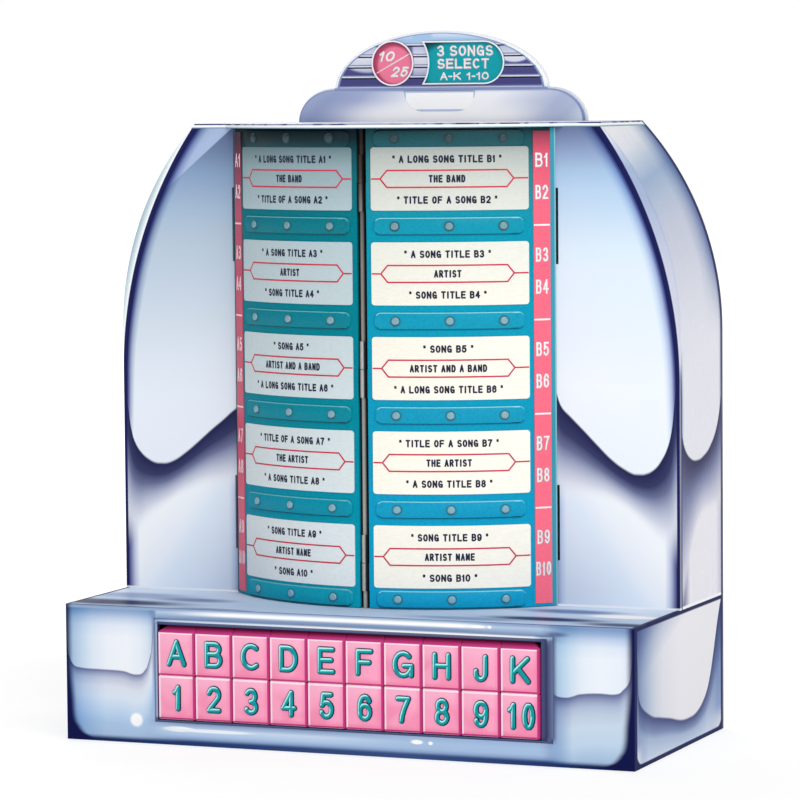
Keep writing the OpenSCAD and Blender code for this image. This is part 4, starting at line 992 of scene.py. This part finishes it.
# Painted light by the normal: a painted highlight along each stroke's upper left, painted shade at its lower
# right, and a dark outline of painted shade where it turns down to the cap
colour = coats("#079aa2", (overlap(soft(to_light, 0.04, 0.14), soft(to_light, 0.72, 0.6)), "#b4f8f4"),
               (soft(to_light, -0.2, -0.5), "#0a6a76"), (soft(outward, 0.9, 0.8), "#06303e"))
finish(colour, (0.25, 0.35), 1.0, 0.004, Specular_IOR_Level=0.08)


def arc(u, v, wide, tall, first, last):
    """Points on an arc of an oval in a unit box, from one angle to the other in degrees."""
    turns = [math.radians(first + (last - first) * k / 14) for k in range(15)]
    return [(u + wide * math.cos(t), v + tall * math.sin(t)) for t in turns]


NINE = [arc(0.48, 0.4, 0.5, 0.4, 210, 360) + [(0.98, 0.69)], arc(0.5, 0.69, 0.5, 0.31, 0, 360)]
ROUND = [arc(0.5, 0.5, 0.5, 0.5, 0, 360)]
STROKES = {
    "A": [[(0, 0), (0.5, 1)], [(0.5, 1), (1, 0)], [(0.17, 0.34), (0.83, 0.34)]],
    "B": [[(0, 0), (0, 1)], [(0, 1)] + arc(0.55, 0.765, 0.38, 0.235, 90, -90) + [(0, 0.53)],
          arc(0.6, 0.265, 0.4, 0.265, 80, -90) + [(0, 0)]],
    "C": [arc(0.52, 0.5, 0.52, 0.5, 50, 310)],
    "D": [[(0, 0), (0, 1)], [(0, 1)] + arc(0.45, 0.5, 0.55, 0.5, 90, -90) + [(0, 0)]],
    "E": [[(0, 0), (0, 1)], [(0, 1), (1, 1)], [(0, 0.52), (0.88, 0.52)], [(0, 0), (1, 0)]],
    "F": [[(0, 0), (0, 1)], [(0, 1), (1, 1)], [(0, 0.5), (0.86, 0.5)]],
    "G": [arc(0.52, 0.5, 0.5, 0.5, 45, 330), [(0.58, 0.44), (1, 0.44)], [(1, 0.44), (1, 0.02)]],
    "H": [[(0, 0), (0, 1)], [(1, 0), (1, 1)], [(0, 0.52), (1, 0.52)]],
    "J": [[(1, 1)] + arc(0.5, 0.3, 0.5, 0.3, 0, -180) + [(0, 0.36)]],
    "K": [[(0, 0), (0, 1)], [(1, 1), (0.05, 0.36)], [(0.36, 0.58), (1.05, 0)]],
    "1": [[(0.8, 0), (0.8, 0.97)], [(0.8, 0.97), (0.35, 0.77), (0, 0.74)]],
    "2": [arc(0.5, 0.72, 0.5, 0.28, 165, -35) + [(0.05, 0.06)], [(0, 0), (1, 0)]],
    "3": [arc(0.47, 0.745, 0.43, 0.255, 150, -90), arc(0.47, 0.25, 0.5, 0.25, 90, -155)],
    "4": [[(0.72, 0), (0.72, 1)], [(0.72, 1), (0, 0.3)], [(0, 0.3), (1, 0.3)]],
    "5": [[(0.93, 1), (0.18, 1)], [(0.18, 1), (0.08, 0.52)], arc(0.47, 0.33, 0.53, 0.33, 145, -155)],
    "6": [[(1 - u, 1 - v) for u, v in line] for line in NINE],
    "7": [[(0, 1), (1, 1)], [(1, 1), (0.62, 0.58), (0.4, 0.25), (0.33, 0)]],
    "8": [arc(0.5, 0.755, 0.42, 0.245, 0, 360), arc(0.5, 0.26, 0.5, 0.26, 0, 360)],
    "9": NINE,
    "0": ROUND,
    "I": [[(0.5, 0), (0.5, 1)]], "L": [[(0, 1), (0, 0)], [(0, 0), (1, 0)]], "-": [[(0, 0.45), (1, 0.45)]],
    "M": [[(0, 0), (0, 1)], [(0, 1), (0.5, 0.2)], [(0.5, 0.2), (1, 1)], [(1, 1), (1, 0)]],
    "N": [[(0, 0), (0, 1)], [(0, 1), (1, 0)], [(1, 0), (1, 1)]], "O": ROUND,
    "R": [[(0, 0), (0, 1)], [(0, 1)] + arc(0.55, 0.75, 0.4, 0.25, 90, -90) + [(0, 0.5)],
          [(0.5, 0.5), (1, 0)]],
    "S": [arc(0.5, 0.74, 0.46, 0.26, 35, 270) + arc(0.5, 0.25, 0.5, 0.25, 90, -145)],
    "T": [[(0.5, 0), (0.5, 1)], [(0, 1), (1, 1)]],
    '"': [[(0.1, 1), (0.1, 0.78)], [(0.9, 1), (0.9, 0.78)]]}


def swept(name, paths, radius, sides, round_ends=True):
    """A round section swept along paths of points in mm, as one mesh. Its ends get thinner in steps."""
    ends = ((0.98, 0.2), (0.8, 0.6), (0.45, 0.89)) if round_ends else ((0.9, 0.7),)
    curve = bpy.data.curves.new(name, "CURVE")
    curve.dimensions = "3D"
    curve.bevel_depth, curve.bevel_resolution = radius * MM, sides
    for path in paths:
        points = [Vector(p) for p in path]
        first, last = (points[0] - points[1]).normalized(), (points[-1] - points[-2]).normalized()
        line = [(points[0] + first * radius * reach, thin) for reach, thin in ends]
        line += [(p, 1.0) for p in points]
        line += [(points[-1] + last * radius * reach, thin) for reach, thin in reversed(ends)]
        spline = curve.splines.new("POLY")
        spline.points.add(len(line) - 1)
        for place, (point, thin) in zip(spline.points, line):
            place.co = (*(point * MM), 1)
            place.radius = thin
    piece = bpy.data.objects.new(name, curve)
    bpy.context.scene.collection.objects.link(piece)
    only(piece)
    bpy.ops.object.convert(target="MESH")
    return bpy.context.object


def strokes_of(letter, left, low, width, height, stroke, lean=0.0):
    """The middle lines of a character's strokes in mm. Its lower left corner is at left and low."""
    return [[(left + stroke / 2 + u * (width - stroke) + lean * (v - 0.5) * height, 0,
              low + stroke / 2 + v * (height - stroke)) for u, v in line] for line in STROKES.get(letter, [])]


def pressed(piece, y, stroke, out):
    """Presses round strokes flat against a face at y, so that they stand out of it by mm."""
    for v in piece.data.vertices:
        v.co.y = y * MM + v.co.y * out / (stroke / 2)
    return piece


LEGEND_H, LEGEND_STROKE, LEGEND_GAP, NARROW_ONE = 11.6, 2.5, 1.1, 0.72
LEGEND_W = {"A": 9.3, "B": 8.5, "C": 9.6, "D": 8.9, "E": 8.2, "F": 8.2, "G": 9.9, "H": 8.4, "J": 6.6,
            "K": 8.8, "1": 4.3, "4": 7.4, "7": 7.0, "10": 13.0}
OTHERS_W = 6.9


def legend(text, name, middle):
    """Half-round raised characters, side by side, centred on a point in mm."""
    width = LEGEND_W.get(text, OTHERS_W)
    wide = (width - (len(text) - 1) * LEGEND_GAP) / len(text)
    paths = []
    for count, letter in enumerate(text):
        across = wide * (NARROW_ONE if letter == "1" and len(text) > 1 else 1.0)
        left = middle[0] - width / 2 + count * (wide + LEGEND_GAP) + (wide - across) / 2
        paths += strokes_of(letter, left, middle[2] - LEGEND_H / 2, across, LEGEND_H, LEGEND_STROKE)
    return pressed(swept(name, paths, LEGEND_STROKE / 2, 4), middle[1], LEGEND_STROKE, RISE)


print("letters and figures drawn", len(STROKES))

# %% Twenty keys
for count, (node, text) in enumerate(KEYS):
    upper, column = count < 10, count % 10
    low = upper_low if upper else first_low
    left = low.x + column * PITCH
    cap = copy_of(upper_cap if upper else lower_cap, node + "_cap", (column * PITCH, 0, 0))
    soften(cap, 0.6, 3, 35)
    if upper and column in (0, 9):
        # Mitre: the outer end of the shelf's top runs inwards
        outer = left + (KEY_W if column else 0)
        pick(cap, lambda p: abs(p.x - outer) < 0.9 and p.z > upper_high.z - 0.8)
        pull(-MITRE if column else MITRE, 0, 0)
        leave()
    smooth(cap, 50)
    dress(cap, key_pink)
    hand_over(cap, node, "key_plastic", node)
    raised = legend(text, node + "_legend", (left + KEY_W / 2 + 0.25, FACE_Y,
                                             low.z + STEM_UP + (0.45 if upper else 0.15)))
    smooth(raised, 60)
    dress(raised, teal_abs)
    hand_over(raised, node, "teal_plastic")
for spare in (upper_cap, lower_cap):
    bpy.data.objects.remove(spare)
print("keys made", len(KEYS))

# %% [markdown]
# ## Pieces on the leaves
# Cards, rails and print all follow the leaf's curve. Each is modelled flat, as it was cut, with x as the
# distance from the spine, then cut across every few millimetres and rolled onto the curve. Rolling moves
# each vertex to its angle on the leaf's own circle, which keeps the lengths true, as bending a card does.

# %% Rolling a flat piece onto a leaf
BEND_STEP = 4.0
RIM_SLOPE = 0.7
INK = 0.06  # print is drawn as coarse as it has to be, so that it doesn't sink into the card


def cut_across(piece, first, last):
    """Cuts a flat piece across every few millimetres, so that it can bend."""
    everything(piece)
    place = first + BEND_STEP
    while place < last - 0.1:
        bpy.ops.mesh.select_all(action="SELECT")
        bpy.ops.mesh.bisect(plane_co=(place * MM, 0, 0), plane_no=(1, 0, 0))
        place += BEND_STEP
    leave()


def rounded_plate(name, low, high, thick, corner, rim=0.0, segments=5):
    """A flat plate that looks to the front: a plane with rounded corners, extruded. A rim slopes."""
    width, height = high[0] - low[0], high[1] - low[1]
    middle = Vector(((low[0] + high[0]) / 2, 0, (low[1] + high[1]) / 2))
    plate = start(bpy.ops.mesh.primitive_plane_add, name, size=MM, location=middle * MM,
                  rotation=(math.pi / 2, 0, 0))
    everything(plate)
    bpy.ops.transform.resize(value=(width, 1, height), center_override=middle * MM)
    bpy.ops.mesh.bevel(offset=corner * MM, segments=segments, affect="VERTICES")
    bpy.ops.mesh.select_all(action="SELECT")
    draw_out(-thick)
    face_outwards(plate)
    if rim:
        # The face moves back, and its inset middle comes out again, so that a slope is left round it
        pick(plate, lambda p: p.y < 0.01 - thick, "FACE")
        pull(0, rim * RIM_SLOPE, 0)
        bpy.ops.mesh.inset(thickness=rim * MM, depth=0)
        pull(0, -rim * RIM_SLOPE, 0)
        leave()
    return plate


def onto_leaf(pieces, name, side, lift, material, slot, *replaced, angle=None):
    """Joins flat pieces, rolls them onto a leaf and hands them over. x is the distance from the spine and
    -y the height above the leaf, which lift adds to. Round edges are smoothed up to an angle."""
    made = joined(pieces, name)
    for v in made.data.vertices:
        radius = LEAF_R + lift - v.co.y / MM
        turn = v.co.x / MM / LEAF_R
        v.co.x = radius * math.sin(turn) * MM
        v.co.y = (LEAF_CY - radius * math.cos(turn)) * MM
    made.data.update()
    if angle:
        smooth(made, angle)
    dress(made, material)
    hand_over(made, side + "_leaf", slot, *replaced)
    print(name, len(made.data.polygons), "faces")


# Each leaf by its side, the direction in which x runs, and the letter of its codes
SIDES = (("left", -1, "A"), ("right", 1, "B"))
# Heights above the leaf, in mm: on the bare sheet, on a card, and on a rail
ON_SHEET, ON_CARD, ON_RAIL = 0.05, 0.42, 0.77
CARD_H = 25.74
CARD_PITCH = 38.64
CARD_Z = [78.87 + k * CARD_PITCH for k in range(5)]
RAIL_Z = [61.3] + [z + CARD_PITCH / 2 for z in CARD_Z[:-1]] + [249.9]
CARD_PLACES, RAIL_PLACES = [(0, 0, z) for z in CARD_Z], [(0, 0, z) for z in RAIL_Z]
print("cards at heights", [round(z, 1) for z in CARD_Z])

# %% [markdown]
# ### Title cards
# A title card is printed card stock under a clear film: cream, with a red six-sided frame round the middle
# line and a rule from its tips to the card's ends. The words only say what goes there: a song above, its
# artist in the frame, and a second song below, in narrow bold capitals.

# %% Card stock and inks
def card_stock(name, shades):
    """Card with fibres, given to one side's cards. shades are its colours by height, with painted shade
    towards the top under the hood.
    """
    made = new_material(name)
    vector, x, y, z = place_in_mm()
    fibres = add("TexNoise", {"Vector": add("VectorMath MULTIPLY", vector, (0.5, 0.5, 1.6)), "Scale": 1.0,
                              "Detail": 4.0})
    paper = glaze(add("ValToRGB", z, stops=shades), add("ValToRGB", fibres, stops={0.3: 0.95, 0.7: 1.02}))
    finish(paper, (0.42, 0.55), 0.8, 0.01, Specular_IOR_Level=0.3)
    return made


# The left leaf's cards are painted greyer and bluer than the right's cream ones: painted shade on the leaf
# that turns away from the light
stock = {"left": card_stock("title_card_stock_left", {60: "#eaf1f3", 88: "#e3ecef", 120: "#dae5e8",
                                                      165: "#c9d8dd", 220: "#b2c6cd", 238: "#91a9b0",
                                                      248: "#587078"}),
         "right": card_stock("title_card_stock_right", {60: "#fffcf0", 120: "#fdf9ec", 180: "#f4f0e4",
                                                        215: "#e2e5dc", 232: "#cdd2cb", 243: "#b1b8b3",
                                                        248: "#929a97"})}


def ink(name, colour, fleck):
    """Printing ink: dull, with small flaws where the card's fibres show."""
    made = new_material(name)
    finish(colour, (0.4, 0.5), 0.5, 0.004, fleck=fleck, Specular_IOR_Level=0.25)
    return made


red_ink = ink("red_printing_ink", "#c92745", "#d43a54")
dark_ink = ink("dark_printing_ink", "#1c2140", "#2a3050")
white_ink = ink("white_printing_ink", "#fdf4f5", "#f3e3e6")
print("card and inks mixed")

# %% Cards and their red frames
CARD_NEAR, CARD_FAR = 4.2, 69.6
FRAME_NEAR, FRAME_FAR, FRAME_HALF_H, TIP_LONG = 7.9, 63.6, 3.75, 3.1
for side, sign, _ in SIDES:
    near, far = sorted((sign * CARD_NEAR, sign * CARD_FAR))
    card = rounded_plate("card", (near, -CARD_H / 2), (far, CARD_H / 2), 0.35, 1.3)
    cut_across(card, near, far)
    onto_leaf(repeated(card, CARD_PLACES), side + "_title_cards", side, ON_SHEET, stock[side], "title_card",
              side + "_cards")

    # Six-sided frame: a circle of six corners, moved to its outline, inset, and its middle taken out
    middle, half = sign * (FRAME_NEAR + FRAME_FAR) / 2, (FRAME_FAR - FRAME_NEAR) / 2
    ring = start(bpy.ops.mesh.primitive_circle_add, "frame", vertices=6, radius=MM, fill_type="NGON",
                 rotation=(math.pi / 2, math.pi / 2, 0))
    for v in ring.data.vertices:
        tip = abs(v.co.z) < 0.2 * MM
        v.co = Vector((middle + math.copysign(half if tip else half - TIP_LONG, v.co.x), 0,
                       0 if tip else math.copysign(FRAME_HALF_H, v.co.z))) * MM
    everything(ring)
    bpy.ops.mesh.inset(thickness=0.6 * MM, depth=0)
    bpy.ops.mesh.delete(type="FACE")
    bpy.ops.mesh.select_all(action="SELECT")
    draw_out(-INK)
    cut_across(ring, middle - half, middle + half)
    face_outwards(ring)
    rules = []
    for ends in ((CARD_NEAR + 0.2, FRAME_NEAR + 0.2), (FRAME_FAR - 0.2, CARD_FAR - 0.2)):
        low, high = sorted(sign * end for end in ends)
        rules.append(rounded_plate("rule", (low, -0.3), (high, 0.3), INK, 0.1, segments=1))
    onto_leaf(repeated(joined([ring] + rules, "frame"), CARD_PLACES), side + "_card_frames", side, ON_CARD,
              red_ink, "title_card")


# %% Printed words
NARROW, NARROW_SHARE = " 1I\"-", 0.55
PRINT_OUT = 0.03


def printed(text, name, middle, height, width, stroke, lean=0.0):
    """Flat characters of the same strokes as the keys' legends, centred on a point in mm."""
    gap = stroke * 0.4
    shares = [NARROW_SHARE if letter in NARROW else 1.0 for letter in text]
    wide = (width - (len(text) - 1) * gap) / sum(shares)
    left, low = middle[0] - width / 2, middle[2] - height / 2
    paths = []
    for letter, share in zip(text, shares):
        paths += strokes_of(letter, left, low, wide * share, height, stroke, lean)
        left += wide * share + gap
    return pressed(swept(name, paths, stroke / 2, 0, False), middle[1], stroke, PRINT_OUT)


SONGS = ("SONG TITLE", "TITLE OF A SONG", "SONG", "A SONG TITLE", "A LONG SONG TITLE")
ARTISTS = ("ARTIST NAME", "THE ARTIST", "ARTIST AND A BAND", "ARTIST", "THE BAND")
for side, sign, letter in SIDES:
    lines = []
    for k, z in enumerate(CARD_Z):
        first = 9 - 2 * k
        for text, up in (('" %s %s%d "' % (SONGS[k], letter, first), 8.0), (ARTISTS[k], 0.0),
                         ('" %s %s%d "' % (SONGS[k - 3], letter, first + 1), -8.6)):
            lines.append(printed(text, "line", (sign * 35.8, 0, z + up), 3.1, len(text) * 1.86, 0.7))
    onto_leaf(lines, side + "_card_words", side, ON_CARD + 0.02, dark_ink, "title_card")

# %% [markdown]
# ### Rails and rivets
# The rails are pressed from the same teal sheet, with round ends and a soft rim, and each is held by three
# aluminium rivets. A rivet is a short cylinder whose edge is bevelled until it is a dome, set in a dished
# collar. One is modelled and copied to its places.

# %% Rails
def rail_paint(name, shades, shine, shadow):
    """The leaf's own enamel, with a painted highlight on the rim's upper slope, which painted shade dims
    towards the top under the hood, and painted shadow on its lower one.
    """
    made = new_material(name)
    vector, x, y, z = place_in_mm()
    slope = add("SeparateXYZ", add("TexCoord", out="Normal")).node.outputs[2]
    shine = glaze(shine, add("ValToRGB", z, stops={225: "#ffffff", 246: "#4a4a4a", 253: "#202020"}))
    colour = coats(dotted(shades, vector, z), (soft(slope, 0.3, 0.5), shine),
                   (soft(slope, -0.3, -0.5), shadow))
    finish(colour, (0.42, 0.52), 0.9, 0.01, Specular_IOR_Level=0.12)
    return made


RAIL_NEAR, RAIL_FAR, RAIL_HALF_H = 5.2, 67.8, 3.5
# The left leaf's rails get a dimmer painted highlight, as that leaf turns away from the light
rail_coat = {"left": rail_paint("satin_enamel_rail_left", TEAL_LEFT, "#6fb9c2", "#124651"),
             "right": rail_paint("satin_enamel_rail_right", TEAL_RIGHT, "#8fd6e3", "#0b5670")}
for side, sign, _ in SIDES:
    near, far = sorted((sign * RAIL_NEAR, sign * RAIL_FAR))
    rail = rounded_plate("rail", (near, -RAIL_HALF_H), (far, RAIL_HALF_H), 0.72, 3.0, rim=0.5, segments=6)
    cut_across(rail, near, far)
    onto_leaf(repeated(rail, RAIL_PLACES), side + "_clamp_rails", side, ON_SHEET, rail_coat[side],
              "leaf_enamel", side + "_rails", angle=35)

# %% Rivets
# Pressed aluminium: satin, with a painted reflection of the teal round it, painted shade at the head's lower
# side, and painted shade towards the top under the hood
rivet_metal = new_material("pressed_aluminium_rivet")
vector, x, y, z = place_in_mm()
slope = add("SeparateXYZ", add("TexCoord", out="Normal")).node.outputs[2]
head = add("ValToRGB", z, stops={58: "#83b3c3", 200: "#7fa6b0", 236: "#5f8790", 246: "#2c4a52",
                                 254: "#1b3038"})
finish(coats(head, (soft(slope, -0.3, -0.8), "#2e5866")), (0.4, 0.5), 0.4, 0.01, Metallic=0.2)
# The dished collar has the leaf's enamel, in painted shade from its head, deeper towards the top under the
# hood
collar_metal = new_material("dished_collar")
vector, x, y, z = place_in_mm()
colour = add("ValToRGB", z, stops={58: "#1a7c96", 200: "#1f6b7c", 240: "#1c525c", 254: "#10292f"})
finish(colour, (0.4, 0.5), 0.6, 0.01, Metallic=0.2)


def disc(name, radius, depth):
    """A short cylinder in front of y = 0."""
    return start(bpy.ops.mesh.primitive_cylinder_add, name, vertices=20, radius=radius * MM,
                 depth=depth * MM, location=(0, -depth / 2 * MM, 0), rotation=(math.pi / 2, 0, 0))


RIVET_X = [14.3, 36.5, 58.7]
rivet = disc("rivet", 1.65, 0.6)
pick(rivet, lambda p: p.y < -0.55, "EDGE")
bpy.ops.mesh.bevel(offset=0.55 * MM, segments=3)
collar = disc("collar", 2.2, 0.16)
pick(collar, lambda p: p.y < -0.15, "FACE")
bpy.ops.mesh.inset(thickness=0.35 * MM, depth=0)
pull(0, 0.06, 0)
leave()
for side, sign, _ in SIDES:
    places = [(sign * along, 0, z) for z in RAIL_Z for along in RIVET_X]
    onto_leaf(repeated(copy_of(rivet, "head"), places), side + "_rivet_heads", side, ON_RAIL + 0.03,
              rivet_metal, "rivet_aluminium", side + "_rivets", angle=50)
    onto_leaf(repeated(copy_of(collar, "ring"), places), side + "_rivet_collars", side, ON_RAIL,
              collar_metal, "rivet_aluminium", angle=40)
for spare in (rivet, collar):
    bpy.data.objects.remove(spare)

# %% [markdown]
# ### Index strips
# The pink strip at each leaf's outer edge gives the code to press: a letter and a figure for each song,
# in white, two to a card, with white rules between the cards.

# %% Index codes
# The left leaf's codes are white ink toned down to pale pink: painted shade on the leaf that turns away from
# the light
shaded_code_ink = ink("shaded_white_printing_ink", "#ffdbe2", "#f6c8d2")
code_ink = {"left": shaded_code_ink, "right": white_ink}
for side, sign, letter in SIDES:
    codes = []
    for k in range(10):
        z = CARD_Z[4 - k // 2] + (7.2 if k % 2 == 0 else -5.9)
        codes.append(printed("%s%d" % (letter, k + 1), "code", (sign * 75.4, 0, z), 6.0,
                             5.9 if k < 9 else 7.0, 1.05))
    near, far = sorted((sign * 71.8, sign * 79.0))
    for z in RAIL_Z[1:-1]:
        codes.append(rounded_plate("divider", (near, z - 0.35), (far, z + 0.35), INK, 0.1, segments=1))
    onto_leaf(codes, side + "_index_codes", side, ON_CARD, code_ink[side], "index_strip")

# %% [markdown]
# ## Crest signs
# The price disc and window are moulded plates with a raised white rim round a sunken coloured field,
# which has a painted shadow under the rim's upper left. Their shapes are right in the imported model, so
# they only get their paint: the rim is found by its depth. The figures are plain numbers, and the words only
# say how to choose.

# %% Disc and window
def sign_paint(name, field, shadowed_field, centre, size, rim_y):
    """White rim, and a field in painted shadow where the rim shades it."""
    made = new_material(name)
    vector, x, y, z = place_in_mm()
    lit = soft(spot(x, z, centre, size), 0.03, 0.2)
    colour = coats(shadowed_field, (lit, field), (soft(y, rim_y + 0.5, rim_y + 0.1), "#f4f6fb"))
    finish(colour, (0.25, 0.35), 1.0, 0.006, Specular_IOR_Level=0.2)
    return made


disc_low, disc_high = (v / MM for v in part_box("price_disc"))
disc_middle = (disc_low + disc_high) / 2
disc_pink = sign_paint("moulded_pink_disc", "#f07c9c", "#b0476a", (disc_middle.x + 0.8, disc_middle.z - 0.9),
                       (10.2, 10.2), disc_low.y)
window_teal = sign_paint("moulded_teal_window", "#04a0ac", "#0a5560", (12.0, 279.2), (27.5, 14.4), disc_low.y)
paint(disc_pink, "price_disc")
paint(window_teal, "price_window")

ON_FIELD = disc_low.y + 1.2
prices = joined([printed("10", "ten", (-24.6, ON_FIELD, 283.9), 4.8, 7.4, 1.25, 0.22),
                 printed("25", "twenty_five", (-18.6, ON_FIELD, 277.2), 4.8, 7.6, 1.25, 0.22),
                 swept("rule", [[(-29.2, ON_FIELD, 276.9), (-14.0, ON_FIELD, 285.0)]], 0.3, 0, False)],
                "price_figures")
plays = joined([printed("3", "three", (0.2, ON_FIELD, 286.0), 4.9, 3.5, 1.1),
                printed("SONGS", "songs", (14.2, ON_FIELD, 286.0), 4.8, 20.0, 1.1),
                printed("SELECT", "select", (10.4, ON_FIELD, 280.5), 4.5, 23.8, 1.05),
                printed("A-K 1-10", "range", (11.0, ON_FIELD, 275.2), 3.5, 22.4, 0.85)], "play_figures")
for piece, slot in ((prices, "pink_plastic"), (plays, "teal_plastic")):
    dress(piece, white_ink)
    hand_over(piece, "cabinet", slot)
print("crest signs set")

# %% [markdown]
# ## Springs
# Behind each key a coil spring pushes it out, and gets shorter as the key goes in. Its wire is a helix,
# and each spring is its own piece, set on the cabinet.

# %% Return springs
GUIDE_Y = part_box("key_guide")[0].y / MM
COIL_R, WIRE_R, TURNS, STEPS = 3.4, 0.3, 5, 120
for count, (node, _) in enumerate(KEYS):
    low = upper_low if count < 10 else first_low
    centre = Vector((low.x + KEY_W / 2 + count % 10 * PITCH, KEY_BACK, low.z + STEM_UP))
    helix = []
    for step in range(STEPS + 1):
        share = step / STEPS
        turn = 2 * math.pi * TURNS * share
        # The end turns lie close together, as a ground spring's do
        rise = (GUIDE_Y - KEY_BACK - 2 * WIRE_R) * (3 * share ** 2 - 2 * share ** 3) + WIRE_R
        helix.append(centre + Vector((COIL_R * math.cos(turn), rise, COIL_R * math.sin(turn))))
    coil = swept(node + "_spring", [helix], WIRE_R, 1)
    smooth(coil, 60)
    dress(coil, wire)
    hand_over(coil, "cabinet", "spring_steel", *(["key_springs"] if count == 0 else []))
    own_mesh(coil)
print("springs wound", len(KEYS))

# %% [markdown]
# ## Back screws
# Four countersunk screws hold the back panel. A cone is the head, its small face is drawn out into the
# shank, and two bars cut the cross for the screwdriver. Every screw stops at another angle.

# %% Countersunk screws with a cross
HEAD_D, SHANK_D, HEAD_H, BACK_Y, TIP_Y = 5.6, 2.9, 1.4, 58.0, 49.0
CROSS_LONG, CROSS_WIDE, CROSS_DEEP = 3.4, 0.9, 0.9
first = start(bpy.ops.mesh.primitive_cone_add, "screw", vertices=32, radius1=HEAD_D / 2 * MM,
              radius2=SHANK_D / 2 * MM, depth=HEAD_H * MM, rotation=(math.pi / 2, 0, 0),
              location=(0, (BACK_Y - HEAD_H / 2) * MM, 0))
pick(first, lambda p: p.y < BACK_Y - HEAD_H + 0.01, "FACE")
draw_out(TIP_Y - BACK_Y + HEAD_H)
for long, wide in ((CROSS_LONG, CROSS_WIDE), (CROSS_WIDE, CROSS_LONG)):
    bar = start(bpy.ops.mesh.primitive_cube_add, "cross_bar", size=MM, location=(0, BACK_Y * MM, 0),
                scale=(long, 2 * CROSS_DEEP, wide))
    cut = first.modifiers.new("cross", "BOOLEAN")
    cut.operation, cut.object, cut.solver = "DIFFERENCE", bar, "EXACT"
    only(first)
    bpy.ops.object.modifier_apply(modifier="cross")
    bpy.data.objects.remove(bar)
screws = []
for across, up, turn in ((-114, 30, 20), (-78, 248, 65), (114, 30, 41), (78, 248, 7)):
    screw = copy_of(first, "back_screw")
    screw.data.transform(Matrix.Rotation(math.radians(turn), 4, "Y"))
    screw.data.transform(Matrix.Translation(Vector((across, 0, up)) * MM))
    screws.append(screw)
bpy.data.objects.remove(first)
screws = joined(screws, "back_screw_set")
smooth(screws, 35)
dress(screws, zinc)
hand_over(screws, "cabinet", "zinc_steel", "back_screws")
print("back screws", len(screws.data.polygons), "faces")

# %% [markdown]
# ## Floor and light
# The floor is plain and pale, and bright enough to run into the white of the background, with only a
# faint shadow where the object stands. That shadow is partly real and partly painted, since the floor's own
# glow is weaker near the object. One large soft light stands at the right front, above the object, a weaker
# one behind it at the left, and the room fills in the rest.

# %% Floor
floor = start(bpy.ops.mesh.primitive_plane_add, "floor", size=12)
floor_white = new_material("plain_floor")
card = add("BsdfDiffuse", {"Color": "#a2a2a2"})
far = add("VectorMath LENGTH", add("TexCoord", out="Object"), out="Value")
# The glow is weaker near the middle: a painted shadow round where the object stands
glow = add("Emission", {"Color": "#ffffff", "Strength": add("MapRange", far, 0.2, 0.9, 0.7, 1.05)})
tree.links.new(add("AddShader", card, glow), tree.nodes["Material Output"].inputs[0])
dress(floor, floor_white)
floor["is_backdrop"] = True
print("floor laid")

# %% World and lamps
MIDDLE_Z = 0.14  # the middle of the object, which the lamps look at
world = bpy.data.worlds.new("room")
bpy.context.scene.world = world
world.use_nodes = True
tree = world.node_tree
tree.nodes.remove(tree.nodes["Background"])
room = add("Background", {"Color": "#ffffff", "Strength": 0.38})
backdrop = add("Background", {"Color": "#ffffff", "Strength": 1.02})
mixed = add("MixShader", add("LightPath", out="Is Camera Ray"), room, backdrop)
tree.links.new(mixed, tree.nodes["World Output"].inputs[0])


def soft_light(name, towards, away, size, share):
    """A square light that adds a share of full white to a surface that faces it."""
    data = bpy.data.lights.new(name, "AREA")
    data.shape, data.size = "SQUARE", size
    data.energy = share * math.pi ** 2 * away ** 2
    lamp = bpy.data.objects.new(name, data)
    bpy.context.scene.collection.objects.link(lamp)
    direction = Vector(towards).normalized()
    lamp.location = Vector((0, 0, MIDDLE_Z)) + direction * away
    lamp.rotation_euler = direction.to_track_quat("Z", "Y").to_euler()


soft_light("key_light", (0.5, -0.58, 0.64), 2.2, 1.5, 0.6)
soft_light("back_fill", (-0.6, 0.7, 0.5), 2.6, 2.0, 0.35)
bpy.context.scene.view_settings.view_transform = "Standard"
print("lights set")

# %% Sizes of the imported model and of the finished scene
sizes = {"cad": cad_box, "visual": [list(corner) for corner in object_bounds()]}
print("visual box", sizes["visual"])
